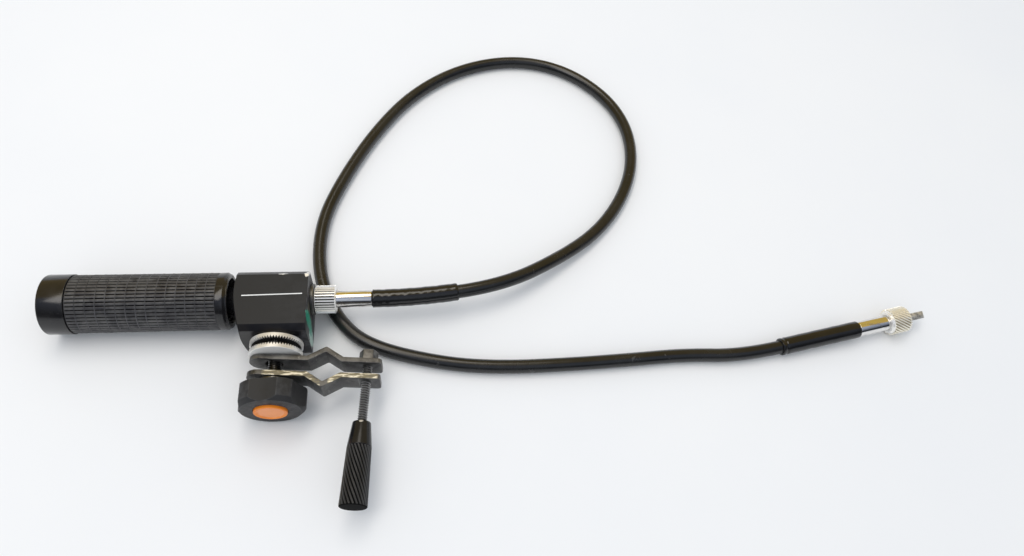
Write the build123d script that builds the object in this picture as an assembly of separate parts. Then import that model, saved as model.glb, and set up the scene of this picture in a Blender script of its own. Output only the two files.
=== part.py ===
from build123d import *
import math
import os

os.makedirs("parts", exist_ok=True)

# A hand-turned focus control: a rubber grip turns a spindle in a small housing, and the
# spindle turns a flexible shaft. A toothed joint and a two-jaw clamp hold the housing to a bar.
# Millimetres. X runs along the grip towards the flexible shaft, Y points away from the clamp,
# Z is up. The origin is on the table, below the drive axis, inside the housing.

# Clearances
part_gap = 0.05            # between pieces that are fixed together
running_gap = 0.08         # radial, between a shaft and its bush
free_gap = 0.3             # between faces that pass each other
overrun = 1.0              # how far a cutter runs past the face it opens

# Grip, measured outwards from the housing
cap_proud = 0.4
cap_length = 15.8
cap_edge = 1.2
sleeve_diameter = 36.0
sleeve_wall = 1.8
sleeve_length = 85.5
sleeve_bands = 15
sleeve_band_groove = 1.2
sleeve_groove_depth = 0.5
collar_length = 6.0
collar_edge = 1.6
tube_wall = 1.9
grip_to_housing = 5.0
cap_plug_length = 12.0
cap_wall = 3.0
cap_seam = 0.6

tube_diameter = sleeve_diameter - 2 * sleeve_wall
cap_diameter = sleeve_diameter + 2 * cap_proud
axis_height = cap_diameter / 2

# Housing
housing_length = 43.75
housing_crown = 23.5
housing_rise = 17.4
housing_front = 28.4
housing_back = 12.9
front_chamfer = 3.2
back_chamfer = 4.0
housing_bore = 21.0
housing_bore_wall = 7.0
crown_diameter = 34.8
crown_slope = 19.2

# Bearing flange with the nose that the grip turns round
flange_diameter = 26.0
flange_thickness = 1.0
flange_edge = 0.3
nose_diameter = 16.8
nose_length = 24.25
bush_wall = 1.6
bush_length = 12.0
bush_lip = 1.2
bush_lip_rise = 1.4

# Spindle and what turns with it
spindle_diameter = 9.6
spindle_head = 13.6
spindle_head_length = 15.0
square_size = 5.0
square_gap = 0.15
square_depth = 12.0
hub_length = 9.0
hub_nut_flats = 15.0
hub_nut_height = 5.0
thread_run = 2.0
drag_washer_thickness = 1.0
wave_spring_height = 1.6
drag_washer_diameter = 15.6
clip_groove_diameter = 8.4
clip_diameter = 12.6
clip_thickness = 1.0

# Output side
boss_diameter = 20.0
boss_thickness = 2.2
spigot_diameter = 14.0
spigot_length = 7.4
spigot_bore = 10.6
nut_diameter = 17.9
nut_length = 13.2
nut_lip = 2.4
nut_edge = 0.6
ferrule_diameter = 10.5
ferrule_length = 22.5
ferrule_flange = 13.2
ferrule_flange_thickness = 2.0
core_bore = 7.8
core_square_length = 21.0

# Flexible shaft
cable_diameter = 9.0
boot_diameter = 11.8
near_boot_reach = 54.7
near_boot_bend = 3.9
arc_share = 0.45
boot_edge = 0.8

# The flexible shaft's route over the table, from the near boot to the far boot
cable_route = [
    (113.2, 3.9, 18.4), (143.0, 8.1, 18.4), (188.0, 36.5, 8.0), (217.5, 60.0, 4.5),
    (239.5, 89.5, 4.5), (252.5, 123.0, 4.5), (253.5, 159.5, 4.5), (239.0, 193.5, 4.5),
    (208.0, 221.5, 4.5), (168.0, 231.0, 4.5), (124.0, 220.0, 4.5), (86.0, 192.5, 4.5),
    (58.0, 154.5, 4.5), (35.0, 109.0, 4.5), (20.5, 68.0, 4.5), (21.5, 24.0, 4.5),
    (36.5, -10.0, 4.5), (57.5, -28.0, 4.5), (101.5, -40.5, 4.5), (138.0, -44.5, 4.5),
    (180.5, -44.0, 4.5), (223.0, -42.0, 4.5), (262.0, -39.5, 4.5), (301.5, -41.5, 4.9),
    (328.95, -36.5, 5.9),
]

# Far end, lying on the table with its nut touching it
far_start = (329.0, -36.49)
far_heading = 10.4
far_boot_length = 58.6
far_nut_length = 14.4
tip_reach = 13.6
tip_roll = 20.0
tip_edge = 0.5

# Toothed joint, its stud and its knob
stud_offset = 1.75
stud_diameter = 8.0
stud_root = 14.0
stud_reach = 12.0
seat_thickness = 2.5
rosette_diameter = 31.6
rosette_thickness = 3.2
rosette_bore_gap = 0.4
tooth_count = 60
tooth_depth = 1.4
tooth_land = 0.12
tooth_inner = 20.0
rosette_recess = 1.3
rosette_screw_count = 3
rosette_screw_circle = 14.6
rosette_screw_diameter = 2.5
rosette_screw_head = 4.4
rosette_screw_head_height = 1.2
rosette_screw_reach = 8.0
stud_pitch = 1.25
knob_turns = 16 / 7
knob_lobes = 5
knob_lobe_angle = 26.0
knob_first_lobe = 30.0
knob_diameter = 40.0
knob_valley_share = 0.88
knob_body = 13.7
knob_front_edge = 2.8
knob_back_edge = 0.9
knob_lobe_rounding = 0.7
knob_hub_diameter = 19.0
knob_hub_length = 3.4
knob_cap_diameter = 19.4
knob_cap_thickness = 1.6
knob_cap_proud = 1.4
knob_cap_edge = 0.3
insert_diameter = 12.0
insert_length = 10.0
washer_diameter = 17.0
washer_thickness = 1.5

# Clamp: two bent steel jaws drawn together by a long screw
jaw_thickness = 3.2
jaw_width = 16.0
jaw_tail = 14.8
jaw_reach = 64.0
jaw_gap = 6.8
vee_centre = 30.6
vee_width = 19.6
vee_depth = 6.0
vee_bend = 1.5
jaw_corner = 2.5
jaw_hole_gap = 1.2
front_hole_shift = 0.45
jaw_lean = 4.2
screw_position = 55.3
screw_diameter = 5.8
end_nut_flats = 10.0
end_nut_height = 7.4
end_nut_edge = 0.6
handle_start = 31.2
handle_length = 48.6
handle_neck_length = 14.2
handle_neck = 10.8
handle_shoulder = 14.1
handle_end = 16.1
handle_edge = 0.9
handle_socket = 16.0

# Places along the drive axis
housing_left = -housing_crown
housing_right = housing_left + housing_length
flange_face = housing_left - flange_thickness
collar_end = housing_left - grip_to_housing
sleeve_right = collar_end - collar_length
sleeve_left = sleeve_right - sleeve_length
cap_left = sleeve_left - cap_length
nose_tip = flange_face - nose_length
bush_flange_face = nose_tip - bush_lip
drag_face = bush_flange_face - part_gap
spring_face = drag_face - drag_washer_thickness
hub_right = spring_face - wave_spring_height
hub_left = hub_right - hub_length
hub_nut_left = hub_left - hub_nut_height
boss_face = housing_right + boss_thickness
nut_left = boss_face + free_gap
nut_right = nut_left + nut_length
lip_left = nut_right - nut_lip
flange_stop = lip_left - part_gap
ferrule_left = flange_stop - ferrule_flange_thickness
ferrule_right = nut_right + ferrule_length
spigot_end = boss_face + spigot_length
core_left = ferrule_left - square_depth
core_right = core_left + core_square_length
spindle_right = spigot_end - free_gap
head_left = spindle_right - spindle_head_length

# Places along the stud, which points towards -Y
valley_radius = knob_diameter / 2 * knob_valley_share
stud_height = knob_diameter / 2
fixed_back = -housing_front - seat_thickness
fixed_tips = fixed_back - rosette_thickness
draw_travel = stud_pitch * knob_turns
loose_tips = fixed_tips - draw_travel - free_gap
loose_front = loose_tips - rosette_thickness
jaw_back = loose_front - part_gap
lean_drop = jaw_tail * math.sin(math.radians(jaw_lean))
jaws_depth = 2 * jaw_thickness + jaw_gap
jaw_face_reach = lean_drop + jaws_depth + washer_diameter / 2 * math.sin(math.radians(jaw_lean))
washer_back = jaw_back - jaw_face_reach - free_gap
washer_front = washer_back - washer_thickness
hub_back = washer_front - part_gap
lobes_back = hub_back - knob_hub_length
knob_front = lobes_back - knob_body
stud_end = hub_back - stud_reach
pivot_x = stud_offset - jaw_tail

# Far end
nut_rise = nut_diameter / 2 - boot_diameter / 2
far_nut_rim = far_boot_length + ferrule_length + nut_edge
far_tilt = math.degrees(math.asin(nut_rise / far_nut_rim))


def along_x(radius, start, end):
    """A cylinder on the drive axis."""
    middle = (start + end) / 2
    return Pos(middle, 0, axis_height) * Rot(0, 90, 0) * Cylinder(radius, end - start)


def along_stud(radius, back, front):
    """A cylinder on the stud's axis, from its back face to its front face."""
    middle = (back + front) / 2
    return Pos(stud_offset, middle, stud_height) * Rot(90, 0, 0) * Cylinder(radius, back - front)


def edged(shape, axis, place, edge):
    """The shape with the outer edge of its face at one place on an axis chamfered."""
    faces = shape.faces().sort_by(axis)
    face = faces[0] if place == "first" else faces[-1]
    outer = face.outer_wire().edges()
    return chamfer(outer, edge)


def grip_tube():
    """The alloy tube that carries the sleeve, the end cap and the collar."""
    left = sleeve_left - cap_plug_length
    right = collar_end + free_gap
    outer = along_x(tube_diameter / 2, left, right)
    return outer - along_x(tube_diameter / 2 - tube_wall, left - overrun, right + overrun)


def grip_end_cap():
    """The turned cap, a cup that closes the far end of the tube."""
    body = along_x(cap_diameter / 2, cap_left, sleeve_left - cap_seam)
    body = edged(body, Axis.X, "first", cap_edge)
    mouth = along_x(tube_diameter / 2 + part_gap, cap_left + cap_wall, sleeve_left)
    plug = along_x(tube_diameter / 2 - tube_wall - part_gap, cap_left + cap_wall,
                   sleeve_left - cap_plug_length / 2)
    bore = along_x(tube_diameter / 2 - 2 * tube_wall, cap_left + cap_wall, sleeve_left)
    return body - mouth + (plug - bore)


def grip_sleeve():
    """The rubber sleeve: fifteen bands of pads, parted by shallow grooves."""
    left = sleeve_left
    body = along_x(sleeve_diameter / 2, left, sleeve_right)
    pitch = sleeve_length / sleeve_bands
    floor_radius = sleeve_diameter / 2 - sleeve_groove_depth
    for band in range(1, sleeve_bands):
        middle = left + band * pitch
        start = middle - sleeve_band_groove / 2
        end = middle + sleeve_band_groove / 2
        ring = along_x(sleeve_diameter / 2 + overrun, start, end) - along_x(floor_radius, start, end)
        body -= ring
    bore = along_x(tube_diameter / 2 + part_gap, left - overrun, sleeve_right + overrun)
    return body - bore


def grip_collar():
    """The ring screwed on the open end of the tube, with a bevel towards the housing."""
    body = along_x(sleeve_diameter / 2, sleeve_right + part_gap, collar_end)
    body = edged(body, Axis.X, "last", collar_edge)
    bore = along_x(tube_diameter / 2 + part_gap, sleeve_right - overrun, collar_end + overrun)
    return body - bore


def drive_hub():
    """The disc pressed in the tube that hands the grip's turn to the spindle."""
    body = along_x(tube_diameter / 2 - tube_wall - part_gap, hub_left, hub_right)
    return body - along_x(spindle_diameter / 2 + part_gap, hub_left - overrun, hub_right + overrun)


def hub_nut():
    """The hexagon nut that holds the hub on the spindle."""
    across = hub_nut_flats / math.sqrt(3)
    outline = RegularPolygon(across, 6)
    body = extrude(outline, hub_nut_height)
    body = Pos(hub_nut_left - part_gap, 0, axis_height) * Rot(0, 90, 0) * body
    start = hub_nut_left - overrun
    return body - along_x(spindle_diameter / 2 + part_gap, start, hub_left + overrun)


def drag_washer():
    """The nylon washer that gives the grip its drag against the bush."""
    body = along_x(drag_washer_diameter / 2, spring_face, drag_face)
    return body - along_x(spindle_diameter / 2 + running_gap, spring_face - overrun,
                          drag_face + overrun)


def wave_spring():
    """The spring washer between the hub and the drag washer."""
    left = hub_right + part_gap
    right = spring_face - part_gap
    body = along_x(drag_washer_diameter / 2, left, right)
    return body - along_x(spindle_diameter / 2 + running_gap, left - overrun, right + overrun)


def square_bar(size, start, end, roll):
    """A square bar on the drive axis, turned about it."""
    bar = extrude(Rectangle(size, size), end - start)
    return Pos(start, 0, axis_height) * Rot(0, 90, 0) * Rot(0, 0, roll) * bar


def drive_spindle():
    """The steel spindle, with the square socket for the flexible shaft at its head."""
    shaft = along_x(spindle_diameter / 2, hub_nut_left - thread_run, head_left + overrun)
    head = along_x(spindle_head / 2, head_left, housing_right)
    head += along_x(spigot_bore / 2 - free_gap, housing_right - overrun, spindle_right)
    groove_right = head_left - housing_bore_wall
    groove_left = groove_right - clip_thickness
    ring = along_x(spindle_diameter / 2 + overrun, groove_left, groove_right)
    ring -= along_x(clip_groove_diameter / 2, groove_left, groove_right)
    socket = square_bar(square_size + 2 * square_gap, core_left - free_gap,
                        spindle_right + overrun, 0)
    return shaft + head - ring - socket


def spindle_clip():
    """The spring clip in the spindle's groove."""
    groove_right = head_left - housing_bore_wall - part_gap
    groove_left = groove_right - clip_thickness + 2 * part_gap
    body = along_x(clip_diameter / 2, groove_left, groove_right)
    body -= along_x(clip_groove_diameter / 2 + part_gap, groove_left - overrun,
                    groove_right + overrun)
    mouth = Box(clip_diameter, spindle_diameter / 2, clip_diameter / 2)
    place = Pos((groove_left + groove_right) / 2, 0, axis_height + clip_diameter / 4 + part_gap)
    return body - place * mouth


def core_square():
    """The square end of the flexible shaft's core, seated in the spindle."""
    return square_bar(square_size, core_left, core_right, 0)


def crown_cutter():
    """A ring that turns the housing's grip side to a shallow cone about the drive axis."""
    inner = crown_diameter / 2
    reach = housing_front + housing_back + axis_height
    drop = (reach - inner) * math.tan(math.radians(crown_slope))
    start = housing_left - overrun
    outline = Polyline((start, inner), (housing_left, inner), (housing_left + drop, reach),
                       (start, reach), close=True)
    ring = revolve(make_face(outline), Axis.X)
    return Pos(0, 0, axis_height) * ring


def housing_block():
    """The painted housing: a block with bevelled edges and a crowned end, bored for the spindle."""
    back = housing_back
    front = -housing_front
    top = axis_height + housing_rise
    outline = Polyline(
        (front, 0), (back - back_chamfer, 0), (back, back_chamfer), (back, top - back_chamfer),
        (back - back_chamfer, top), (front + front_chamfer, top), (front, top - front_chamfer),
        close=True,
    )
    profile = Plane.YZ * make_face(outline)
    block = Pos(housing_left, 0, 0) * extrude(profile, housing_length) - crown_cutter()
    block -= along_x(housing_bore / 2, housing_left - overrun, housing_right - housing_bore_wall)
    bore = spindle_head / 2 + free_gap
    block -= along_x(bore, housing_right - housing_bore_wall - overrun, housing_right + overrun)
    block -= along_stud(stud_diameter / 2 + part_gap, front + stud_root, front - overrun)
    for screw_x, screw_z in screw_places():
        hole = Cylinder(rosette_screw_diameter / 2 + part_gap, 2 * rosette_screw_reach)
        block -= Pos(screw_x, front, screw_z) * Rot(90, 0, 0) * hole
    return block


def bearing_flange():
    """The low flange on the grip side, with the nose that the grip turns round."""
    flange = along_x(flange_diameter / 2, flange_face, housing_left - part_gap)
    flange = edged(flange, Axis.X, "first", flange_edge)
    nose = along_x(nose_diameter / 2, nose_tip, flange_face + overrun)
    spigot = along_x(housing_bore / 2 - part_gap, flange_face + overrun,
                     housing_left + bush_length)
    body = flange + nose + spigot
    bore = spindle_diameter / 2 + bush_wall + part_gap
    return body - along_x(bore, nose_tip - overrun, housing_left + bush_length + overrun)


def nose_bush():
    """The lipped bronze bush in the tip of the nose."""
    outer = spindle_diameter / 2 + bush_wall
    body = along_x(outer, nose_tip - part_gap, nose_tip + bush_length)
    body += along_x(outer + bush_lip_rise, bush_flange_face, nose_tip - part_gap)
    bore = spindle_diameter / 2 + running_gap
    return body - along_x(bore, bush_flange_face - overrun, nose_tip + bush_length + overrun)


def housing_bush():
    """The plain bronze bush inside the flange's spigot."""
    outer = spindle_diameter / 2 + bush_wall
    right = housing_left + bush_length
    body = along_x(outer, housing_left, right)
    bore = spindle_diameter / 2 + running_gap
    return body - along_x(bore, housing_left - overrun, right + overrun)


def output_boss():
    """The threaded outlet that the flexible shaft's nut screws on."""
    body = along_x(boss_diameter / 2, housing_right + part_gap, boss_face)
    body += along_x(spigot_diameter / 2, boss_face - overrun, spigot_end)
    return body - along_x(spigot_bore / 2, housing_right - overrun, spigot_end + overrun)


def coupling_nut_near():
    """The knurled nut that holds the flexible shaft on the outlet."""
    body = along_x(nut_diameter / 2, nut_left, nut_right)
    body = edged(body, Axis.X, "first", nut_edge)
    body = edged(body, Axis.X, "last", nut_edge)
    body -= along_x(spigot_diameter / 2 + running_gap, nut_left - overrun, lip_left)
    return body - along_x(ferrule_diameter / 2 + running_gap, nut_left, nut_right + overrun)


def ferrule_near():
    """The polished ferrule, with the flange that the nut pulls on."""
    body = along_x(ferrule_diameter / 2, ferrule_left, ferrule_right)
    body += along_x(ferrule_flange / 2, ferrule_left, flange_stop)
    bore = along_x(core_bore / 2, ferrule_left - overrun, core_right + free_gap)
    return body - bore


def boot_near():
    """The shrunk sleeve over the joint of ferrule and cable, bending with the cable."""
    start = (ferrule_right + part_gap, 0, axis_height)
    end = (ferrule_right + near_boot_reach, near_boot_bend, axis_height)
    path = TangentArc(start, end, tangent=(1, 0, 0))
    section = Plane(origin=start, z_dir=(1, 0, 0)) * Circle(boot_diameter / 2)
    return sweep(section, path)


def flexible_shaft():
    """The sheathed shaft as one tube of straight runs joined by tangent arcs."""
    points = [Vector(*place) for place in cable_route]
    radii = []
    for before, corner, after in zip(points, points[1:], points[2:]):
        first, second = corner - before, after - corner
        half_turn = math.radians(first.get_angle(second)) / 2
        radii.append(arc_share * min(first.length, second.length) / math.tan(half_turn))
    print("cable arc radii", [round(radius) for radius in radii])
    path = FilletPolyline(*points, radius=radii)
    section = Plane(origin=points[0], z_dir=points[1] - points[0]) * Circle(cable_diameter / 2)
    tube = sweep(section, path)
    expected = math.pi * (cable_diameter / 2) ** 2 * path.length
    print("cable length", round(path.length, 1), "volume ratio", round(tube.volume / expected, 4))
    return tube


def far_place():
    """The frame of the far end: X along its axis, starting at the boot."""
    heading = math.radians(far_heading)
    tilt = math.radians(far_tilt)
    forward = (math.cos(tilt) * math.cos(heading), math.cos(tilt) * math.sin(heading),
               math.sin(tilt))
    upward = (-math.sin(tilt) * math.cos(heading), -math.sin(tilt) * math.sin(heading),
              math.cos(tilt))
    start = (far_start[0], far_start[1], boot_diameter / 2)
    return Plane(origin=start, x_dir=forward, z_dir=upward).location


def far_rod(radius, start, end):
    """A cylinder on the far end's own axis."""
    middle = (start + end) / 2
    return Pos(middle, 0, 0) * Rot(0, 90, 0) * Cylinder(radius, end - start)


def boot_far():
    """The shrunk sleeve at the far end of the cable."""
    body = far_rod(boot_diameter / 2, 0, far_boot_length)
    body = edged(body, Axis.X, "last", boot_edge)
    return far_place() * body


def ferrule_far():
    """The far ferrule, with its flange inside the nut."""
    left = far_boot_length + part_gap
    nut_face = far_boot_length + ferrule_length
    flange_left = nut_face + nut_lip + part_gap
    flange_right = flange_left + ferrule_flange_thickness
    body = far_rod(ferrule_diameter / 2, left, flange_right)
    body += far_rod(ferrule_flange / 2, flange_left, flange_right)
    body -= far_rod(core_bore / 2, nut_face - core_square_length / 2, flange_right + overrun)
    return far_place() * body


def coupling_nut_far():
    """The free nut at the far end, open towards the lens."""
    left = far_boot_length + ferrule_length
    right = left + far_nut_length
    body = far_rod(nut_diameter / 2, left, right)
    body = edged(body, Axis.X, "first", nut_edge)
    body = edged(body, Axis.X, "last", nut_edge)
    body -= far_rod(ferrule_diameter / 2 + running_gap, left - overrun, right)
    body -= far_rod(spigot_diameter / 2 + running_gap, left + nut_lip, right + overrun)
    return far_place() * body


def drive_tip_far():
    """The square tip of the turning core, which enters the lens drive."""
    left = far_boot_length + ferrule_length - core_square_length / 2 + free_gap
    right = far_boot_length + ferrule_length + far_nut_length + tip_reach
    bar = extrude(Rectangle(square_size, square_size), right - left)
    bar = chamfer(bar.faces().sort_by(Axis.Z)[-1].edges(), tip_edge)
    return far_place() * Pos(left, 0, 0) * Rot(0, 90, 0) * Rot(0, 0, tip_roll) * bar


def screw_places():
    """The places of the rosette's screws on the housing's front face."""
    places = []
    for number in range(rosette_screw_count):
        angle = math.radians(90) + number * 2 * math.pi / rosette_screw_count
        reach = rosette_screw_circle / 2
        places.append((stud_offset + reach * math.cos(angle), stud_height + reach * math.sin(angle)))
    return places


def toothed_disc():
    """A disc lying on XY with radial teeth cut in its raised rim."""
    outer = rosette_diameter / 2
    disc = Pos(0, 0, rosette_thickness / 2) * Cylinder(outer, rosette_thickness)
    disc -= Pos(0, 0, rosette_thickness) * Cylinder(tooth_inner / 2, 2 * rosette_recess)
    floor = rosette_thickness - tooth_depth
    widening = (tooth_depth + overrun) / tooth_depth
    sections = []
    for distance in (tooth_inner / 2 - overrun, outer + overrun):
        half = (distance * math.tan(math.pi / tooth_count) - tooth_land / 2) * widening
        top = rosette_thickness + overrun
        notch_face = make_face(Polyline((0, floor), (half, top), (-half, top), close=True))
        sections.append(Pos(distance, 0, 0) * (Plane.YZ * notch_face))
    notch = loft(sections, ruled=True)
    notches = [Rot(0, 0, 360 * number / tooth_count) * notch for number in range(tooth_count)]
    return disc - notches


def fixed_rosette():
    """The toothed disc screwed to the front of the housing, on a low round seat."""
    disc = toothed_disc()
    disc -= Cylinder(stud_diameter / 2 + rosette_bore_gap, 4 * rosette_thickness)
    disc = Pos(stud_offset, fixed_back, stud_height) * Rot(90, 0, 0) * disc
    seat = along_stud(tooth_inner / 2, -housing_front - part_gap, fixed_back - part_gap)
    seat -= along_stud(stud_diameter / 2 + rosette_bore_gap, -housing_front + overrun,
                       fixed_back - overrun)
    body = disc + seat
    head_floor = fixed_back - rosette_thickness + rosette_recess + rosette_screw_head_height
    for screw_x, screw_z in screw_places():
        hole = Cylinder(rosette_screw_diameter / 2 + part_gap, 4 * rosette_thickness)
        body -= Pos(screw_x, fixed_back, screw_z) * Rot(90, 0, 0) * hole
        recess = Cylinder(rosette_screw_head / 2 + part_gap, 2 * rosette_screw_head_height)
        place = head_floor - rosette_screw_head_height
        body -= Pos(screw_x, place, screw_z) * Rot(90, 0, 0) * recess
    return body


def rosette_screws():
    """The three small screws that hold the fixed rosette."""
    floor_y = fixed_back - rosette_thickness + rosette_recess + rosette_screw_head_height
    head_y = floor_y - rosette_screw_head_height / 2 - part_gap
    shank_back = -housing_front + rosette_screw_reach - part_gap
    screws = []
    for screw_x, screw_z in screw_places():
        head = Pos(screw_x, head_y, screw_z) * Rot(90, 0, 0) * Cylinder(
            rosette_screw_head / 2, rosette_screw_head_height)
        middle = (shank_back + head_y) / 2
        shank = Pos(screw_x, middle, screw_z) * Rot(90, 0, 0) * Cylinder(
            rosette_screw_diameter / 2, shank_back - head_y)
        screws.append(head + shank)
    return Compound(children=screws)


def pivot_stud():
    """The threaded stud that the loose disc, the jaws and the knob sit on."""
    back = -housing_front + stud_root - part_gap
    return along_stud(stud_diameter / 2, back, stud_end)


def knob_washer():
    """The plain washer between the knob and the front jaw."""
    body = along_stud(washer_diameter / 2, washer_back, washer_front)
    return body - along_stud(stud_diameter / 2 + running_gap, washer_back + overrun,
                             washer_front - overrun)


def knob_outline():
    """The knob's section: five broad round lobes parted by shallow hollows, one lobe upwards."""
    pitch = 2 * math.pi / knob_lobes
    half_hollow = (pitch - math.radians(knob_lobe_angle)) / 2
    chord_half = knob_diameter / 2 * math.sin(half_hollow)
    chord_depth = knob_diameter / 2 * math.cos(half_hollow) - valley_radius
    hollow = (chord_half ** 2 + chord_depth ** 2) / (2 * chord_depth)
    section = Circle(knob_diameter / 2)
    for lobe in range(knob_lobes):
        turn = Rot(0, 0, math.degrees(pitch * lobe))
        section -= turn * Pos(valley_radius + hollow, 0) * Circle(hollow)
    section = fillet(section.vertices(), knob_lobe_rounding)
    return Rot(0, 0, math.degrees(math.pi / 2 - pitch / 2)) * section


def star_knob():
    """The five-lobed moulded knob, with its lowest lobe resting on the table."""
    body = extrude(knob_outline(), knob_body)
    reach = knob_diameter / 2 + overrun
    for face, edge, outward in ((0, knob_back_edge, -1), (knob_body, knob_front_edge, 1)):
        bevel = Polyline(
            (reach - edge - 2 * overrun, face + outward * overrun),
            (reach, face + outward * overrun),
            (reach, face - outward * (edge + overrun)), close=True,
        )
        body -= revolve(Plane.XZ * make_face(bevel), Axis.Z)
    turned = Rot(90, 0, 0) * Rot(0, 0, -knob_first_lobe) * body
    body = Pos(stud_offset, lobes_back, stud_height) * turned
    body += along_stud(knob_hub_diameter / 2, hub_back, lobes_back - overrun)
    body -= along_stud(insert_diameter / 2 + part_gap, hub_back + overrun,
                       hub_back - insert_length - part_gap)
    cap_floor = knob_front + knob_cap_thickness
    body -= along_stud(stud_diameter / 2 + free_gap, hub_back - insert_length + overrun,
                       cap_floor - overrun)
    return body - along_stud(knob_cap_diameter / 2 + part_gap, cap_floor, knob_front - overrun)


def knob_insert():
    """The brass thread moulded into the knob."""
    body = along_stud(insert_diameter / 2, hub_back, hub_back - insert_length)
    return body - along_stud(stud_diameter / 2 + running_gap, hub_back + overrun,
                             hub_back - insert_length - overrun)


def knob_cap():
    """The orange plug that closes the knob's front."""
    body = along_stud(knob_cap_diameter / 2, knob_front + knob_cap_thickness - part_gap,
                      knob_front - knob_cap_proud)
    return edged(body, Axis.Y, "first", knob_cap_edge)


def loose_rosette():
    """The toothed disc that turns with the clamp."""
    disc = toothed_disc()
    disc -= Cylinder(stud_diameter / 2 + rosette_bore_gap, 4 * rosette_thickness)
    return Pos(stud_offset, loose_front, stud_height) * Rot(-90, 0, 0) * disc


def leaned(shape):
    """A clamp piece from its square place to the slack lean it lies with on the stud."""
    return Pos(pivot_x, jaw_back, 0) * Rot(0, 0, -jaw_lean) * Pos(-pivot_x, -jaw_back, 0) * shape


def jaw_strip(inner, outward):
    """A bent strip: flat, vee, flat, with its inner face at one Y and its back turned outward."""
    slope = math.atan(vee_depth / (vee_width / 2))
    shift = jaw_thickness * math.tan(slope / 2)
    crest = jaw_thickness / math.cos(slope)
    left = stud_offset - jaw_tail
    right = stud_offset + jaw_reach
    vee_left = stud_offset + vee_centre - vee_width / 2
    vee_middle = stud_offset + vee_centre
    vee_right = stud_offset + vee_centre + vee_width / 2
    outer = inner + outward * jaw_thickness
    apex = inner + outward * vee_depth
    outline = Polyline(
        (left, inner), (vee_left, inner), (vee_middle, apex), (vee_right, inner), (right, inner),
        (right, outer), (vee_right + shift, outer), (vee_middle, apex + outward * crest),
        (vee_left - shift, outer), (left, outer), close=True,
    )
    strip = extrude(make_face(outline), jaw_width)
    strip = Pos(0, 0, stud_height - jaw_width / 2) * strip
    bends = [edge for edge in strip.edges().filter_by(Axis.Z)
             if vee_left - 2 * shift < edge.center().X < vee_right + 2 * shift]
    strip = fillet(bends, vee_bend)
    ends = [edge for edge in strip.edges().filter_by(Axis.Y) if edge.center().X > vee_right]
    strip = fillet(ends, jaw_corner)
    tail = [edge for edge in strip.edges().filter_by(Axis.Y) if edge.center().X < vee_left]
    return fillet(tail, jaw_width / 2 - part_gap)


def through_jaw(x, radius):
    """A cutter through both jaws, across their faces."""
    depth = 2 * (jaws_depth + overrun)
    return Pos(x, jaw_back - jaws_depth / 2, stud_height) * Rot(90, 0, 0) * Cylinder(radius, depth)


def stud_hole(shift):
    """The roomy hole for the stud; its shift shares the room between leaned and square."""
    return through_jaw(stud_offset + shift, stud_diameter / 2 + jaw_hole_gap)


def rear_jaw():
    """The jaw next to the toothed joint."""
    strip = jaw_strip(jaw_back - jaw_thickness, 1)
    strip -= stud_hole(0)
    strip -= through_jaw(stud_offset + screw_position, screw_diameter / 2 + running_gap)
    return leaned(strip)


def front_jaw():
    """The jaw next to the knob, tapped for the clamp screw."""
    strip = jaw_strip(jaw_back - jaw_thickness - jaw_gap, -1)
    strip -= stud_hole(front_hole_shift)
    strip -= through_jaw(stud_offset + screw_position, screw_diameter / 2 + running_gap)
    return leaned(strip)


def on_screw(radius, back, front):
    """A cylinder on the clamp screw's axis, measured from the rear jaw's back face."""
    middle = jaw_back + (back + front) / 2
    place = Pos(stud_offset + screw_position, middle, stud_height)
    return place * Rot(90, 0, 0) * Cylinder(radius, back - front)


handle_top = -jaws_depth / 2 - handle_start
handle_bottom = handle_top - handle_length


def clamp_screw():
    """The long screw that draws the jaws together."""
    end = handle_top - handle_socket + part_gap
    return leaned(on_screw(screw_diameter / 2, end_nut_height, end))


def screw_end_nut():
    """The hexagon nut pinned on the screw behind the rear jaw."""
    body = extrude(RegularPolygon(end_nut_flats / math.sqrt(3), 6), end_nut_height)
    body = chamfer(body.faces().sort_by(Axis.Z)[-1].edges(), end_nut_edge)
    place = Pos(stud_offset + screw_position, jaw_back + part_gap, stud_height)
    body = place * Rot(-90, 0, 0) * body
    return leaned(body - on_screw(screw_diameter / 2 + part_gap, end_nut_height + overrun,
                                  -overrun))


def clamp_handle():
    """The black handle: a plain tapered neck and a longer tapered grip."""
    neck_end = handle_top - handle_neck_length
    bottom = handle_bottom
    profile = Polyline(
        (0, handle_top), (handle_neck / 2 - handle_edge, handle_top),
        (handle_neck / 2, handle_top - handle_edge), (handle_shoulder / 2, neck_end),
        (handle_end / 2, bottom + handle_edge), (handle_end / 2 - handle_edge, bottom),
        (0, bottom), close=True,
    )
    body = revolve(make_face(profile), Axis.Y)
    place = Pos(stud_offset + screw_position, jaw_back, stud_height)
    body = place * body
    body -= on_screw(screw_diameter / 2 + part_gap, handle_top + overrun,
                     handle_top - handle_socket)
    return leaned(body)


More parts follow.
